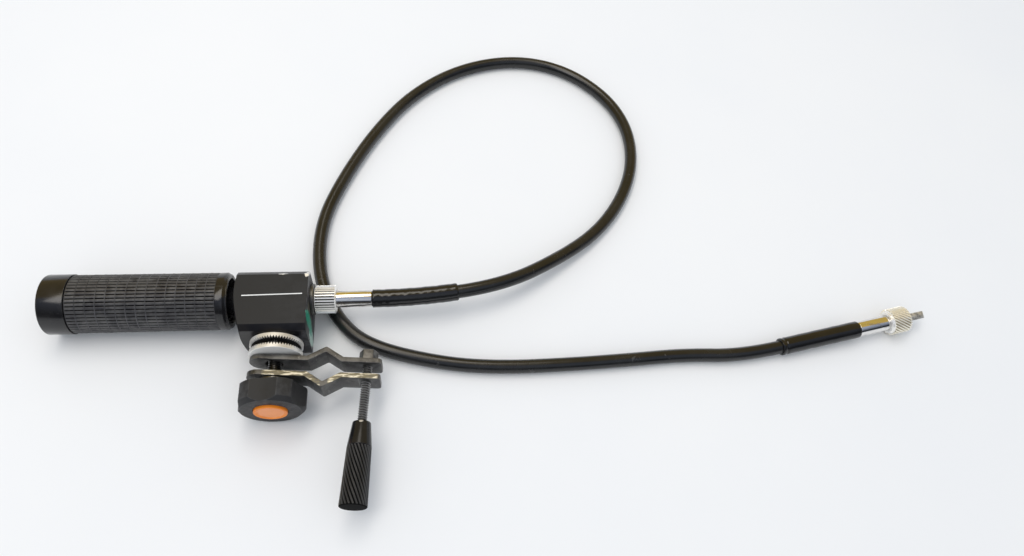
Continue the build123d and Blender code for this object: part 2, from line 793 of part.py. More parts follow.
pieces = {
    "grip_tube": grip_tube, "grip_end_cap": grip_end_cap, "grip_sleeve": grip_sleeve,
    "grip_collar": grip_collar, "drive_hub": drive_hub, "hub_nut": hub_nut,
    "drag_washer": drag_washer, "wave_spring": wave_spring, "drive_spindle": drive_spindle,
    "spindle_clip": spindle_clip, "core_square": core_square, "housing": housing_block,
    "bearing_flange": bearing_flange, "nose_bush": nose_bush, "housing_bush": housing_bush,
    "output_boss": output_boss, "coupling_nut_near": coupling_nut_near,
    "ferrule_near": ferrule_near, "boot_near": boot_near, "flexible_shaft": flexible_shaft,
    "boot_far": boot_far, "ferrule_far": ferrule_far, "coupling_nut_far": coupling_nut_far,
    "drive_tip_far": drive_tip_far, "fixed_rosette": fixed_rosette,
    "rosette_screws": rosette_screws, "pivot_stud": pivot_stud, "knob_washer": knob_washer,
    "star_knob": star_knob, "knob_insert": knob_insert, "knob_cap": knob_cap,
    "loose_rosette": loose_rosette, "rear_jaw": rear_jaw, "front_jaw": front_jaw,
    "clamp_screw": clamp_screw, "screw_end_nut": screw_end_nut, "clamp_handle": clamp_handle,
}
for name, make in pieces.items():
    export_step(make(), f"parts/{name}.step")
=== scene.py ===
import math

import bmesh
import bpy
from mathutils import Matrix, Vector


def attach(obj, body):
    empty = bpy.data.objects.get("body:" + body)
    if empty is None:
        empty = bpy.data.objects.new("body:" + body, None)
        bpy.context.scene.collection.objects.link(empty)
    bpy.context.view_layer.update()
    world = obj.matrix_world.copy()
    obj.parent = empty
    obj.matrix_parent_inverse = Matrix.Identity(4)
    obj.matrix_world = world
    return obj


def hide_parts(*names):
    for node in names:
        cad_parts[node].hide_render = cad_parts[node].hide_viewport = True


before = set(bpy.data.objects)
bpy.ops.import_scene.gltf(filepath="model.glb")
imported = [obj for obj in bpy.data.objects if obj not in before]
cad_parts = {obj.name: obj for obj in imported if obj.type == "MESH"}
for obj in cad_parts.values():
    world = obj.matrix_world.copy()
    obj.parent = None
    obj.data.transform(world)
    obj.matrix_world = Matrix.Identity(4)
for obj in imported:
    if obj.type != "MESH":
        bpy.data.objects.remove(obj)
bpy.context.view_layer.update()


# Camera: above and in front of the table, rolled a little, as the photograph was taken.
def shown(name, data):
    """A new object in the scene, made of a camera, a curve, a mesh or a lamp."""
    made = bpy.data.objects.new(name, data)
    bpy.context.scene.collection.objects.link(made)
    return made


camera_place = Vector((0.09153, -0.23368, 0.4416))
camera_right = Vector((0.99294, -0.07346, 0.09314)).normalized()
camera_back = Vector((-0.11749, -0.50091, 0.85749)).normalized()
camera_up = camera_back.cross(camera_right).normalized()
camera = shown("camera", bpy.data.cameras.new("camera"))
camera.data.sensor_fit = "HORIZONTAL"
camera.data.lens = 26.09
camera.data.clip_start, camera.data.clip_end = 0.02, 30.0
camera_axes = Matrix((camera_right, camera_up, camera_right.cross(camera_up))).transposed()
camera.matrix_world = Matrix.Translation(camera_place) @ camera_axes.to_4x4()
bpy.context.scene.camera = camera

# Flexible shaft: the sheathed drive lies on the table in one wide loop. Its jacket is extruded
# black PVC over a wound steel casing, stiff enough to keep even curves. Near and far ends are
# held in shrunk sleeves.
mm = 0.001
cable_radius = 4.5 * mm
cable_route = [
    (113.2, 3.9, 18.4), (143.0, 8.1, 18.4), (188.0, 36.5, 8.0), (217.5, 60.0, 4.5),
    (239.5, 89.5, 4.5), (252.5, 123.0, 4.5), (253.5, 159.5, 4.5), (239.0, 193.5, 4.5),
    (208.0, 221.5, 4.5), (168.0, 231.0, 4.5), (124.0, 220.0, 4.5), (86.0, 192.5, 4.5),
    (58.0, 154.5, 4.5), (35.0, 109.0, 4.5), (20.5, 68.0, 4.5), (21.5, 24.0, 4.5),
    (36.5, -10.0, 4.5), (57.5, -28.0, 4.5), (101.5, -40.5, 4.5), (138.0, -44.5, 4.5),
    (180.5, -44.0, 4.5), (223.0, -42.0, 4.5), (262.0, -39.5, 4.5), (301.5, -41.5, 4.9),
    (328.95, -36.5, 5.9),
]
cable_curve = bpy.data.curves.new("cable_jacket", "CURVE")
cable_curve.dimensions = "3D"
cable_line = cable_curve.splines.new("NURBS")
cable_line.points.add(len(cable_route) - 1)
for point, place in zip(cable_line.points, cable_route):
    point.co = (place[0] * mm, place[1] * mm, place[2] * mm, 1.0)
cable_line.order_u = 3
cable_line.use_endpoint_u = True
cable_curve.resolution_u = 16
cable_curve.bevel_depth = cable_radius
cable_curve.bevel_resolution = 7
cable_curve.use_fill_caps = True
cable = shown("cable_jacket", cable_curve)


def node(tree, kind, settings=None, **inputs):
    """A new node; each input takes a value or another node's socket, by name or as i0, i1."""
    made = tree.nodes.new(kind if kind.startswith("Geometry") else "ShaderNode" + kind)
    for name, value in (settings or {}).items():
        setattr(made, name, value)
    for name, value in inputs.items():
        numbered = name[0] == "i" and name[1:].isdigit()
        socket = made.inputs[int(name[1:]) if numbered else name.replace("_", " ")]
        if isinstance(value, bpy.types.NodeSocket):
            tree.links.new(value, socket)
        else:
            socket.default_value = value
    return made


def maths(tree, operation, *values, kind="Math"):
    """A math node's result; the values are numbers or sockets."""
    inputs = {f"i{place}": value for place, value in enumerate(values)}
    return node(tree, kind, {"operation": operation}, **inputs).outputs[0]


def ramp(tree, value, low, high, start=0.0, end=1.0, soft=False):
    """From start to end while a value goes from low to high."""
    settings = {"interpolation_type": "SMOOTHSTEP"} if soft else None
    return node(tree, "MapRange", settings, Value=value, From_Min=low, From_Max=high,
                To_Min=start, To_Max=end).outputs[0]


def noise(tree, place, scale, detail, roughness=0.5, distortion=0.0):
    """Fractal noise, as one value."""
    return node(tree, "TexNoise", Vector=place, Scale=scale, Detail=detail, Roughness=roughness,
                Distortion=distortion).outputs["Fac"]


def own_place(tree):
    """The place on the piece, in metres."""
    return node(tree, "TexCoord").outputs["Object"]


def shader_group(name, **inputs):
    """An empty node group with named number and vector inputs."""
    tree = bpy.data.node_groups.new(name, "ShaderNodeTree")
    for label, start in inputs.items():
        kind = "NodeSocketVector" if isinstance(start, tuple) else "NodeSocketFloat"
        tree.interface.new_socket(label, in_out="INPUT", socket_type=kind).default_value = start
    return tree, tree.nodes.new("NodeGroupInput").outputs


def group_end(tree, **values):
    """Ends a shader group with its named outputs."""
    for label in values:
        tree.interface.new_socket(label, in_out="OUTPUT", socket_type="NodeSocketFloat")
    outputs = tree.nodes.new("NodeGroupOutput").inputs
    for label, value in values.items():
        tree.links.new(value, outputs[label])


# Grain of a moulded, sprayed or machined surface: fine height and a slow change of tint.
grain_group, given = shader_group("surface_grain", Scale=600.0)
grain_place = own_place(grain_group)
slow_scale = maths(grain_group, "MULTIPLY", given["Scale"], 0.12)
fine_grain = noise(grain_group, grain_place, given["Scale"], 4.0, 0.6)
slow_grain = noise(grain_group, grain_place, slow_scale, 5.0, 0.62)
group_end(grain_group, Height=fine_grain, Tint=ramp(grain_group, slow_grain, 0.34, 0.66, soft=True))

# Fine stray scratches and rubbed lines, stretched along one direction of the piece.
scratch_group, given = shader_group("scratches", Stretch=(1.0, 1.0, 1.0), Scale=300.0, Amount=0.5)
stretched = maths(
    scratch_group, "MULTIPLY", own_place(scratch_group), given["Stretch"], kind="VectorMath")
hairs = noise(scratch_group, stretched, given["Scale"], 3.0, 0.7, 0.4)
half_amount = maths(scratch_group, "MULTIPLY", given["Amount"], 0.5)
hair_end = maths(scratch_group, "SUBTRACT", 1.0, half_amount)
hair_start = maths(scratch_group, "SUBTRACT", hair_end, 0.08)
group_end(scratch_group, Mask=ramp(scratch_group, hairs, hair_start, hair_end, soft=True))


def effect(material, group, **inputs):
    """One of the shared effects, placed in a material with its own values."""
    return node(material.node_tree, "Group", {"node_tree": group}, **inputs).outputs


def over(material, mask, colour, roughness, metallic=None):
    """Lays a second finish over a material where the mask is 1."""
    tree = material.node_tree
    shader = tree.nodes["Principled BSDF"]
    for name, value, kind in (("Base Color", colour, "RGBA"), ("Roughness", roughness, "FLOAT"),
                              ("Metallic", metallic, "FLOAT")):
        if value is None:
            continue
        socket = shader.inputs[name]
        mix = node(tree, "Mix", {"data_type": kind})
        factor, first, second = [item for item in mix.inputs if item.enabled]
        result = [item for item in mix.outputs if item.enabled][0]
        tree.links.new(mask, factor)
        if socket.is_linked:
            tree.links.new(socket.links[0].from_socket, first)
        else:
            first.default_value = socket.default_value
        second.default_value = (*value, 1.0) if kind == "RGBA" else value
        tree.links.new(result, socket)


def finish(name, colour, other, roughness, metallic=0.0, grain=600.0, bump=0.02, shine=0.5):
    """A surface with fine grain in its relief and a slow drift of colour and gloss."""
    material = bpy.data.materials.new(name)
    material.use_nodes = True
    tree = material.node_tree
    shader = tree.nodes["Principled BSDF"]
    shader.inputs["Base Color"].default_value = (*colour, 1.0)
    shader.inputs["Roughness"].default_value = roughness[0]
    shader.inputs["Metallic"].default_value = metallic
    shader.inputs["Specular IOR Level"].default_value = shine
    grained = effect(material, grain_group, Scale=grain)
    over(material, grained["Tint"], other, roughness[1])
    relief = node(tree, "Bump", Height=grained["Height"], Distance=bump * mm, Strength=1.0)
    tree.links.new(relief.outputs["Normal"], shader.inputs["Normal"])
    material.diffuse_color = (*colour, 1.0)
    return material


def scratched(material, scale, amount, colour, roughness, stretch=(1.0, 1.0, 1.0)):
    """Stray scratches in another colour and gloss."""
    marks = effect(material, scratch_group, Stretch=stretch, Scale=scale, Amount=amount)
    over(material, marks["Mask"], colour, roughness)


cable_finish = finish(
    "cable_jacket", (0.007, 0.0075, 0.008), (0.012, 0.012, 0.012), (0.2, 0.3),
    grain=260.0, bump=0.02)
scratched(cable_finish, 180.0, 0.52, (0.04, 0.04, 0.039), 0.42)
cable_curve.materials.append(cable_finish)
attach(cable, "housing")
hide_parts("flexible_shaft")


# Boots: black heat-shrunk sleeves that join the cable to its ferrules. The near one bends with
# the cable, both are a little uneven, and each has a thick lip where it ends.
def softened(corners, closed):
    """A profile with each corner that names a radius replaced by a small arc."""
    line = []
    count = len(corners)
    steps = 4
    for number, corner in enumerate(corners):
        here = Vector(corner[:2])
        radius = corner[2] if len(corner) > 2 else 0.0
        if radius == 0.0 or (not closed and number in (0, count - 1)):
            line.append(here)
            continue
        before = (Vector(corners[number - 1][:2]) - here).normalized()
        after = (Vector(corners[(number + 1) % count][:2]) - here).normalized()
        half = before.angle(after) / 2
        reach = radius / math.tan(half)
        middle = here + (before + after).normalized() * (radius / math.sin(half))
        first, last = here + before * reach - middle, here + after * reach - middle
        for step in range(steps + 1):
            line.append(middle + first.lerp(last, step / steps).normalized() * radius)
    return line


def joined(shape, rings, capped=False):
    """Faces between each ring of corners and the next; a ring of one corner is a pole."""
    for first, second in zip(rings, rings[1:]):
        around = max(len(first), len(second))
        for step in range(around):
            following = (step + 1) % around
            corners = dict.fromkeys(
                (first[step % len(first)], first[following % len(first)],
                 second[following % len(second)], second[step % len(second)]))
            if len(corners) > 2:
                shape.faces.new(list(corners))
    if capped:
        shape.faces.new(rings[0])
        shape.faces.new(rings[-1])


def as_mesh(shape, name, outwards=True):
    """The finished shape as a mesh, with its faces turned outwards where they may not be."""
    if outwards:
        bmesh.ops.recalc_face_normals(shape, faces=shape.faces)
    mesh = bpy.data.meshes.new(name)
    shape.to_mesh(mesh)
    shape.free()
    return mesh


def turned(corners, closed=True, around=96, wave=None):
    """A lathe-turned mesh about X, in metres, from corners in millimetres: along, radius, round."""
    shape = bmesh.new()
    rings = []
    for along, radius in softened(corners, closed):
        if radius < 1e-6:
            rings.append([shape.verts.new((along * mm, 0.0, 0.0))])
            continue
        ring = []
        for step in range(around):
            angle = 2 * math.pi * step / around
            reach = (radius + (wave(along, angle) if wave else 0.0)) * mm
            ring.append(shape.verts.new((along * mm, -reach * math.sin(angle),
                                         reach * math.cos(angle))))
        rings.append(ring)
    joined(shape, rings + rings[:1] if closed else rings)
    return as_mesh(shape, "turned")


def assembled(name, parts, materials, body, solid, sharp=32.0, place=Matrix.Identity(4)):
    """One visible piece in a solid's place; a part is a mesh or (mesh, number of its material)."""
    shape = bmesh.new()
    for part in parts:
        mesh, number = part if isinstance(part, tuple) else (part, 0)
        held = len(shape.faces)
        shape.from_mesh(mesh)
        shape.faces.ensure_lookup_table()
        for face in shape.faces[held:]:
            face.material_index = number
            face.smooth = True
    shape.transform(place)
    mesh = as_mesh(shape, name, outwards=False)
    for material in materials:
        mesh.materials.append(material)
    mesh.set_sharp_from_angle(angle=math.radians(sharp))
    made = shown(name, mesh)
    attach(made, body)
    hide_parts(solid)
    return made


def uneven(depth, waves, seed):
    """A slow waviness along and around a shrunk sleeve, in millimetres."""
    def wave(along, angle):
        return depth * (math.sin(along * waves + seed) * 0.6
                        + math.sin(along * waves * 2.3 + angle * 2 + seed) * 0.4)
    return wave


boot_finish = finish(
    "boot_sleeve", (0.005, 0.005, 0.006), (0.009, 0.009, 0.009), (0.08, 0.17),
    grain=150.0, bump=0.07)
scratched(boot_finish, 120.0, 0.5, (0.04, 0.04, 0.039), 0.38)

drive_height = 18.4
boot_radius = 5.77
boot_length = 55.0
boot_near_start = 58.5
boot_near_reach = 54.65
boot_near_bend = 3.9
boot_around = 64
boot_rings = 56
near_turn = 2 * math.atan(boot_near_bend / boot_near_reach)
near_bend_radius = boot_near_reach / math.sin(near_turn)
near_wave = uneven(0.12, 0.55, 1.3)
boot_line = [
    (0.0, -1.3), (0.0, -0.35), (0.005, 0.0),
    *[(0.02 + 0.96 * step / boot_rings, 0.0) for step in range(boot_rings + 1)],
    (0.985, -0.05), (1.0, -0.5), (1.0, -1.5)]
boot_shape = bmesh.new()
boot_loops = []
for share, drop in boot_line:
    turn = near_turn * share
    centre = Vector(
        (boot_near_start + near_bend_radius * math.sin(turn),
         near_bend_radius * (1 - math.cos(turn)), drive_height))
    sideways = Vector((-math.sin(turn), math.cos(turn), 0.0))
    loop = []
    for step in range(boot_around):
        angle = 2 * math.pi * step / boot_around
        outward = sideways * math.cos(angle) + Vector((0.0, 0.0, math.sin(angle)))
        reach = boot_radius + drop + near_wave(share * boot_length, angle)
        loop.append(boot_shape.verts.new((centre + outward * reach) * mm))
    boot_loops.append(loop)
joined(boot_shape, boot_loops, capped=True)
assembled(
    "near_boot_sleeve", [as_mesh(boot_shape, "boot")], [boot_finish], "housing", "boot_near",
    sharp=50.0)

far_heading = math.radians(10.4)
far_tilt = math.radians(2.1395)
far_start = Vector((329.0, -36.49, 5.9)) * mm
far_forward = Vector(
    (math.cos(far_tilt) * math.cos(far_heading),
     math.cos(far_tilt) * math.sin(far_heading), math.sin(far_tilt)))
far_left = Vector((-math.sin(far_heading), math.cos(far_heading), 0.0))
far_place = Matrix.Translation(far_start) @ Matrix(
    (far_forward, far_left, far_forward.cross(far_left))).transposed().to_4x4()
far_boot_mesh = turned(
    [(0.0, 0.0), (0.0, 4.75), (0.0, 5.75, 0.4), (1.5, 5.8), (2.1, 5.45, 0.3), (3.2, 5.4, 0.3),
     (3.9, 5.72, 0.3), *[(6.0 + 3.2 * step, 5.74) for step in range(16)],
     (58.4, 5.74, 0.5), (58.4, 0.0)], closed=False, wave=uneven(0.09, 0.5, 0.4))
far_boot = assembled(
    "far_boot_sleeve", [far_boot_mesh], [boot_finish], "housing", "boot_far",
    sharp=40.0, place=far_place)

# Ferrules: turned brass tubes with a polished chrome plate, pressed on the casing's ends. Each
# one's flange sits inside its nut.
chrome_finish = finish(
    "ferrule_chrome", (0.83, 0.82, 0.80), (0.74, 0.73, 0.72), (0.07, 0.14),
    metallic=1.0, grain=500.0, bump=0.004)
scratched(chrome_finish, 420.0, 0.7, (0.55, 0.53, 0.50), 0.3, (0.3, 1.0, 1.0))
drive_place = Matrix.Translation((0.0, 0.0, drive_height * mm))
assembled("near_ferrule_tube", [turned(
    [(31.5, 3.9), (31.5, 6.6, 0.2), (33.5, 6.6, 0.2), (33.5, 5.25), (57.9, 5.25, 0.35),
     (58.45, 4.7), (58.45, 3.9)])], [chrome_finish], "housing", "ferrule_near",
    place=drive_place)
far_ferrule = assembled("far_ferrule_tube", [turned(
    [(58.65, 3.9), (58.65, 5.25, 0.3), (83.55, 5.25), (83.55, 6.6, 0.2), (85.55, 6.6, 0.2),
     (85.55, 3.9)])], [chrome_finish], "housing", "ferrule_far", place=far_place)


# Coupling nuts: nickel-plated brass. The near nut has a straight knurl and holds the shaft on
# the housing's outlet. The far nut has a slanting knurl and screws on the lens drive.
def geometry_tree(name, inputs):
    """An empty geometry tree with named inputs and one geometry output."""
    tree = bpy.data.node_groups.new(name, "GeometryNodeTree")
    for label, kind in inputs.items():
        tree.interface.new_socket(label, in_out="INPUT", socket_type="NodeSocket" + kind)
    tree.interface.new_socket("Made", in_out="OUTPUT", socket_type="NodeSocketGeometry")
    return tree, tree.nodes.new("NodeGroupInput").outputs


def tree_end(tree, geometry, material):
    """Ends a geometry tree with real meshes in one material."""
    real = node(tree, "GeometryNodeRealizeInstances", Geometry=geometry)
    painted = node(tree, "GeometryNodeSetMaterial", Geometry=real.outputs[0], Material=material)
    tree.links.new(painted.outputs[0], tree.nodes.new("NodeGroupOutput").inputs["Made"])


# Rows of one unit round the X axis, such as knurl ridges, pads or teeth.
ring_tree, given = geometry_tree("rows_round_an_axis", {
    "Unit": "Geometry", "Count": "Int", "Rows": "Int", "Pitch": "Float", "Finish": "Material"})
unit_total = maths(ring_tree, "MULTIPLY", given["Count"], given["Rows"])
unit_number = node(ring_tree, "GeometryNodeInputIndex").outputs[0]
unit_row = maths(ring_tree, "FLOOR", maths(ring_tree, "DIVIDE", unit_number, given["Count"]))
unit_turn = maths(
    ring_tree, "DIVIDE", maths(ring_tree, "MULTIPLY", unit_number, 2 * math.pi), given["Count"])
unit_along = node(ring_tree, "CombineXYZ", X=maths(ring_tree, "MULTIPLY", unit_row, given["Pitch"]))
unit_spin = node(ring_tree, "CombineXYZ", X=unit_turn)
unit_points = node(
    ring_tree, "GeometryNodePoints", Count=unit_total, Position=unit_along.outputs[0])
unit_copies = node(
    ring_tree, "GeometryNodeInstanceOnPoints", Points=unit_points.outputs[0],
    Instance=given["Unit"], Rotation=unit_spin.outputs[0])
tree_end(ring_tree, unit_copies.outputs[0], given["Finish"])


def grown(tree, start, **values):
    """The plain mesh that a geometry tree makes from a start mesh and its named inputs."""
    holder = shown("grown", start)
    modifier = holder.modifiers.new("grown", "NODES")
    modifier.node_group = tree
    sockets = {
        item.name: item.identifier for item in tree.interface.items_tree if item.in_out == "INPUT"}
    for label, value in values.items():
        modifier[sockets[label]] = value
    bpy.context.view_layer.update()
    result = bpy.data.meshes.new_from_object(
        holder.evaluated_get(bpy.context.evaluated_depsgraph_get()))
    bpy.data.objects.remove(holder)
    return result


def ridge(start, end, low, high, width, height, twist=0.0, steps=1, crest=0.3):
    """A raised ridge along X on a cone from radius low to high, twisted by an angle."""
    shape = bmesh.new()
    loops = []
    for step in range(steps + 1):
        share = step / steps
        along = start + (end - start) * share
        radius = low + (high - low) * share
        loop = []
        for across, rise in ((-0.5, -0.3), (-0.5 * crest, height), (0.5 * crest, height),
                             (0.5, -0.3)):
            angle = twist * share + across * width / radius
            reach = (radius + rise) * mm
            loop.append(shape.verts.new((along * mm, -reach * math.sin(angle),
                                         reach * math.cos(angle))))
        loops.append(loop)
    joined(shape, loops, capped=True)
    return as_mesh(shape, "ridge")


nickel_finish = finish(
    "nut_nickel", (0.95, 0.94, 0.91), (0.90, 0.88, 0.84), (0.18, 0.28),
    metallic=0.45, grain=700.0, bump=0.004)
# Painted shade: the floors of the knurl grooves are painted darker than the nickel, near black on
# the near nut and a dull warm brown on the far nut, as the shade in the grooves.
groove_shade_finish = finish(
    "nut_grooves_painted_shade", (0.025, 0.024, 0.023), (0.015, 0.014, 0.014), (0.4, 0.5),
    metallic=0.4, grain=700.0, bump=0.01)
warm_finish = finish(
    "warm_nickel", (0.94, 0.89, 0.77), (0.88, 0.82, 0.67), (0.2, 0.3),
    metallic=0.4, grain=700.0, bump=0.004)
pale_groove_shade_finish = finish(
    "pale_grooves_painted_shade", (0.36, 0.31, 0.22), (0.25, 0.21, 0.15), (0.4, 0.5),
    metallic=0.4, grain=700.0, bump=0.01)

near_ridges = 30
near_nut_body = turned(
    [(22.75, 7.1), (22.75, 8.2, 0.2), (23.35, 8.5), (23.4, 8.2),
     (35.3, 8.2), (35.35, 8.5), (35.95, 8.0, 0.2), (35.95, 5.4),
     (33.6, 5.4), (33.6, 7.1)])
near_knurl = grown(
    ring_tree, ridge(23.3, 35.4, 8.3, 8.3, 1.16, 0.63, crest=0.5),
    Count=near_ridges, Rows=1, Finish=nickel_finish)
near_grooves = turned([(23.42, 8.0), (23.42, 8.24), (35.28, 8.24), (35.28, 8.0)])
assembled(
    "near_knurled_nut", [near_nut_body, near_knurl, (near_grooves, 1)],
    [nickel_finish, groove_shade_finish], "near_nut", "coupling_nut_near",
    place=drive_place, sharp=24.0)

far_ridges = 26
nut_left = 81.1
nut_right = nut_left + 14.4
far_nut_body = turned([
    (nut_left, 5.4), (nut_left, 7.2, 0.3), (nut_left + 1.4, 7.5, 0.3), (nut_left + 1.6, 8.0, 0.2),
    (nut_left + 13.7, 8.0), (nut_right, 7.8, 0.2), (nut_right, 7.15), (nut_left + 2.5, 7.15),
    (nut_left + 2.5, 5.4)])
far_knurl = grown(
    ring_tree, ridge(nut_left + 1.7, nut_left + 13.8, 8.1, 8.1, 1.5, 0.82,
                     twist=1.0, steps=12, crest=0.55),
    Count=far_ridges, Rows=1, Finish=warm_finish)
far_grooves = turned(
    [(nut_left + 1.7, 7.8), (nut_left + 1.7, 8.04), (nut_left + 13.6, 8.04),
     (nut_left + 13.6, 7.8)])
far_nut = assembled(
    "far_knurled_nut", [far_nut_body, (far_knurl, 2), (far_grooves, 1)],
    [nickel_finish, pale_groove_shade_finish, warm_finish], "far_nut", "coupling_nut_far",
    place=far_place, sharp=24.0)

# Far drive tip: the square end of the turning core, hardened steel with a soft grey bloom. Its
# corners are rubbed bright, in patches that come and go along the edge.
wear_group, given = shader_group("edge_wear", Start=0.52, End=0.58, Breakup=250.0)
proud = ramp(
    wear_group, node(wear_group, "NewGeometry").outputs["Pointiness"], given["Start"],
    given["End"])
broken = noise(wear_group, own_place(wear_group), given["Breakup"], 4.0, 0.65)
group_end(wear_group, Mask=maths(
    wear_group, "MULTIPLY", proud, ramp(wear_group, broken, 0.38, 0.6)))


def worn(material, start, end, breakup, colour, roughness, metallic=None):
    """Proud edges rubbed to another colour and gloss."""
    rubs = effect(material, wear_group, Start=start, End=end, Breakup=breakup)
    over(material, rubs["Mask"], colour, roughness, metallic)


def block(low, high, bevel):
    """A box with rounded edges, in metres, from its corners in millimetres."""
    shape = bmesh.new()
    bmesh.ops.create_cube(shape, size=1.0)
    bmesh.ops.scale(shape, vec=[(b - a) * mm for a, b in zip(low, high)], verts=shape.verts)
    bmesh.ops.translate(
        shape, vec=[(a + b) / 2 * mm for a, b in zip(low, high)], verts=shape.verts)
    bmesh.ops.bevel(
        shape, geom=shape.edges[:], offset=bevel * mm, segments=2, profile=0.5, affect="EDGES")
    return as_mesh(shape, "block", outwards=False)


tip_finish = finish(
    "tip_steel", (0.46, 0.45, 0.43), (0.24, 0.235, 0.22), (0.38, 0.55),
    metallic=0.6, grain=450.0, bump=0.03)
worn(tip_finish, 0.505, 0.55, 400.0, (0.62, 0.61, 0.58), 0.3)
tip_half = 2.5
tip_bar = block((70.9, -tip_half, -tip_half), (nut_right + 13.6, tip_half, tip_half), 0.35)
far_tip = assembled(
    "far_square_tip", [tip_bar], [tip_finish], "far_tip", "drive_tip_far",
    place=far_place @ Matrix.Rotation(math.radians(20.0), 4, "X"))

# Grip sleeve: black rubber moulded with fifteen bands of small pillow pads. Thin raised lands
# part the bands, and narrow slots part the pads. It is stretched over the alloy tube.
sleeve_left = -120.0
sleeve_right = -34.5
sleeve_radius = 18.0
sleeve_bands = 15
sleeve_rows = 48
pad_width = 1.70
pad_top = sleeve_radius - 0.1
land_half = 0.23
slot_floor = 17.3
end_band = 0.35
fine_turn = 144
rubber_finish = finish(
    "sleeve_rubber", (0.013, 0.013, 0.017), (0.024, 0.023, 0.027),
    (0.42, 0.54), grain=420.0, bump=0.06, shine=0.6)
worn(rubber_finish, 0.51, 0.60, 160.0, (0.080, 0.078, 0.076), 0.5)
# Painted highlight: the thin raised lands are painted lighter than the rubber, as the light they
# catch along their tops.
land_highlight_finish = finish(
    "sleeve_lands_painted_highlight", (0.075, 0.074, 0.080), (0.022, 0.022, 0.025), (0.45, 0.55),
    grain=420.0, bump=0.04, shine=0.5)
# Painted shade: the rubber at the bottom of the slots is painted near black and without sheen, as
# the shade that falls in them.
slot_shade_finish = finish(
    "sleeve_slots_painted_shade", (0.001, 0.001, 0.001), (0.002, 0.002, 0.002), (0.85, 0.95),
    grain=420.0, bump=0.02, shine=0.0)
band_pitch = (sleeve_right - sleeve_left) / sleeve_bands
first_land = sleeve_left + band_pitch
pad = block(
    (sleeve_left, -pad_width / 2, slot_floor - 0.25), (first_land, pad_width / 2, pad_top), 0.26)
pads = grown(
    ring_tree, pad, Count=sleeve_rows, Rows=sleeve_bands, Pitch=band_pitch * mm,
    Finish=rubber_finish)
land = turned(
    [(first_land - land_half - 0.1, slot_floor - 0.2),
     (first_land - land_half, sleeve_radius, 0.12),
     (first_land + land_half, sleeve_radius, 0.12),
     (first_land + land_half + 0.1, slot_floor - 0.2)], around=fine_turn)
lands = grown(
    ring_tree, land, Count=1, Rows=sleeve_bands - 1, Pitch=band_pitch * mm, Finish=land_highlight_finish)
sleeve_core = turned(
    [(sleeve_left, 16.25), (sleeve_left, slot_floor), (sleeve_right, slot_floor),
     (sleeve_right, 16.25)], around=fine_turn)
sleeve_ends = [
    turned([(left, slot_floor - 0.2), (left, pad_top, 0.1), (left + end_band, pad_top, 0.1),
            (left + end_band, slot_floor - 0.2)], around=fine_turn)
    for left in (sleeve_left, sleeve_right - end_band)]
assembled(
    "rubber_sleeve", [(sleeve_core, 1), pads, (lands, 2), *sleeve_ends],
    [rubber_finish, slot_shade_finish, land_highlight_finish], "grip", "grip_sleeve",
    place=drive_place, sharp=40.0)

# Grip end cap and collar: turned alloy, black anodised, with a satin gloss. The cap plugs the
# tube's free end, and the collar holds the sleeve at the end next to the housing.
anodised_finish = finish(
    "anodised_black", (0.009, 0.009, 0.010), (0.013, 0.0125, 0.013),
    (0.14, 0.20), grain=900.0, bump=0.003)
scratched(anodised_finish, 260.0, 0.5, (0.035, 0.034, 0.032), 0.34, (0.25, 1.0, 1.0))
worn(anodised_finish, 0.53, 0.62, 300.0, (0.25, 0.24, 0.23), 0.35, 0.8)
cap_left = -135.8
cap_right = -120.6
cap_floor = cap_left + 3.1
assembled("grip_cap", [turned(
    [(cap_left + 0.5, 0.0), (cap_left + 0.5, 12.5, 0.3), (cap_left, 13.0, 0.3),
     (cap_left, 18.4, 1.1), (cap_right, 18.4, 0.25), (cap_right, 16.3), (cap_floor, 16.3),
     (cap_floor, 14.2), (-126.05, 14.2), (-126.05, 12.5), (cap_floor, 12.5), (cap_floor, 0.0)],
    closed=False, around=fine_turn)], [anodised_finish], "grip", "grip_end_cap",
    place=drive_place)
assembled("grip_collar_ring", [turned(
    [(-34.45, 16.25), (-34.45, 18.0, 0.2), (-30.2, 18.0, 0.25), (-28.9, 17.0, 0.3),
     (-28.5, 16.9, 0.15), (-28.5, 16.25)], around=fine_turn)], [anodised_finish], "grip",
    "grip_collar", place=drive_place)
lip_finish = finish(
    "tube_lip", (0.20, 0.195, 0.19), (0.12, 0.12, 0.12), (0.32, 0.45),
    metallic=0.9, grain=500.0, bump=0.01)
tube_wall = turned(
    [(-132.0, 14.3), (-132.0, 16.2), (-28.85, 16.2), (-28.85, 14.3)], around=fine_turn)
tube_lip = turned(
    [(-28.87, 14.3), (-28.87, 16.2), (-28.2, 16.2, 0.25), (-28.2, 14.45, 0.15)], around=fine_turn)
assembled(
    "grip_inner_tube", [tube_wall, (tube_lip, 1)], [anodised_finish, lip_finish], "grip",
    "grip_tube", place=drive_place)

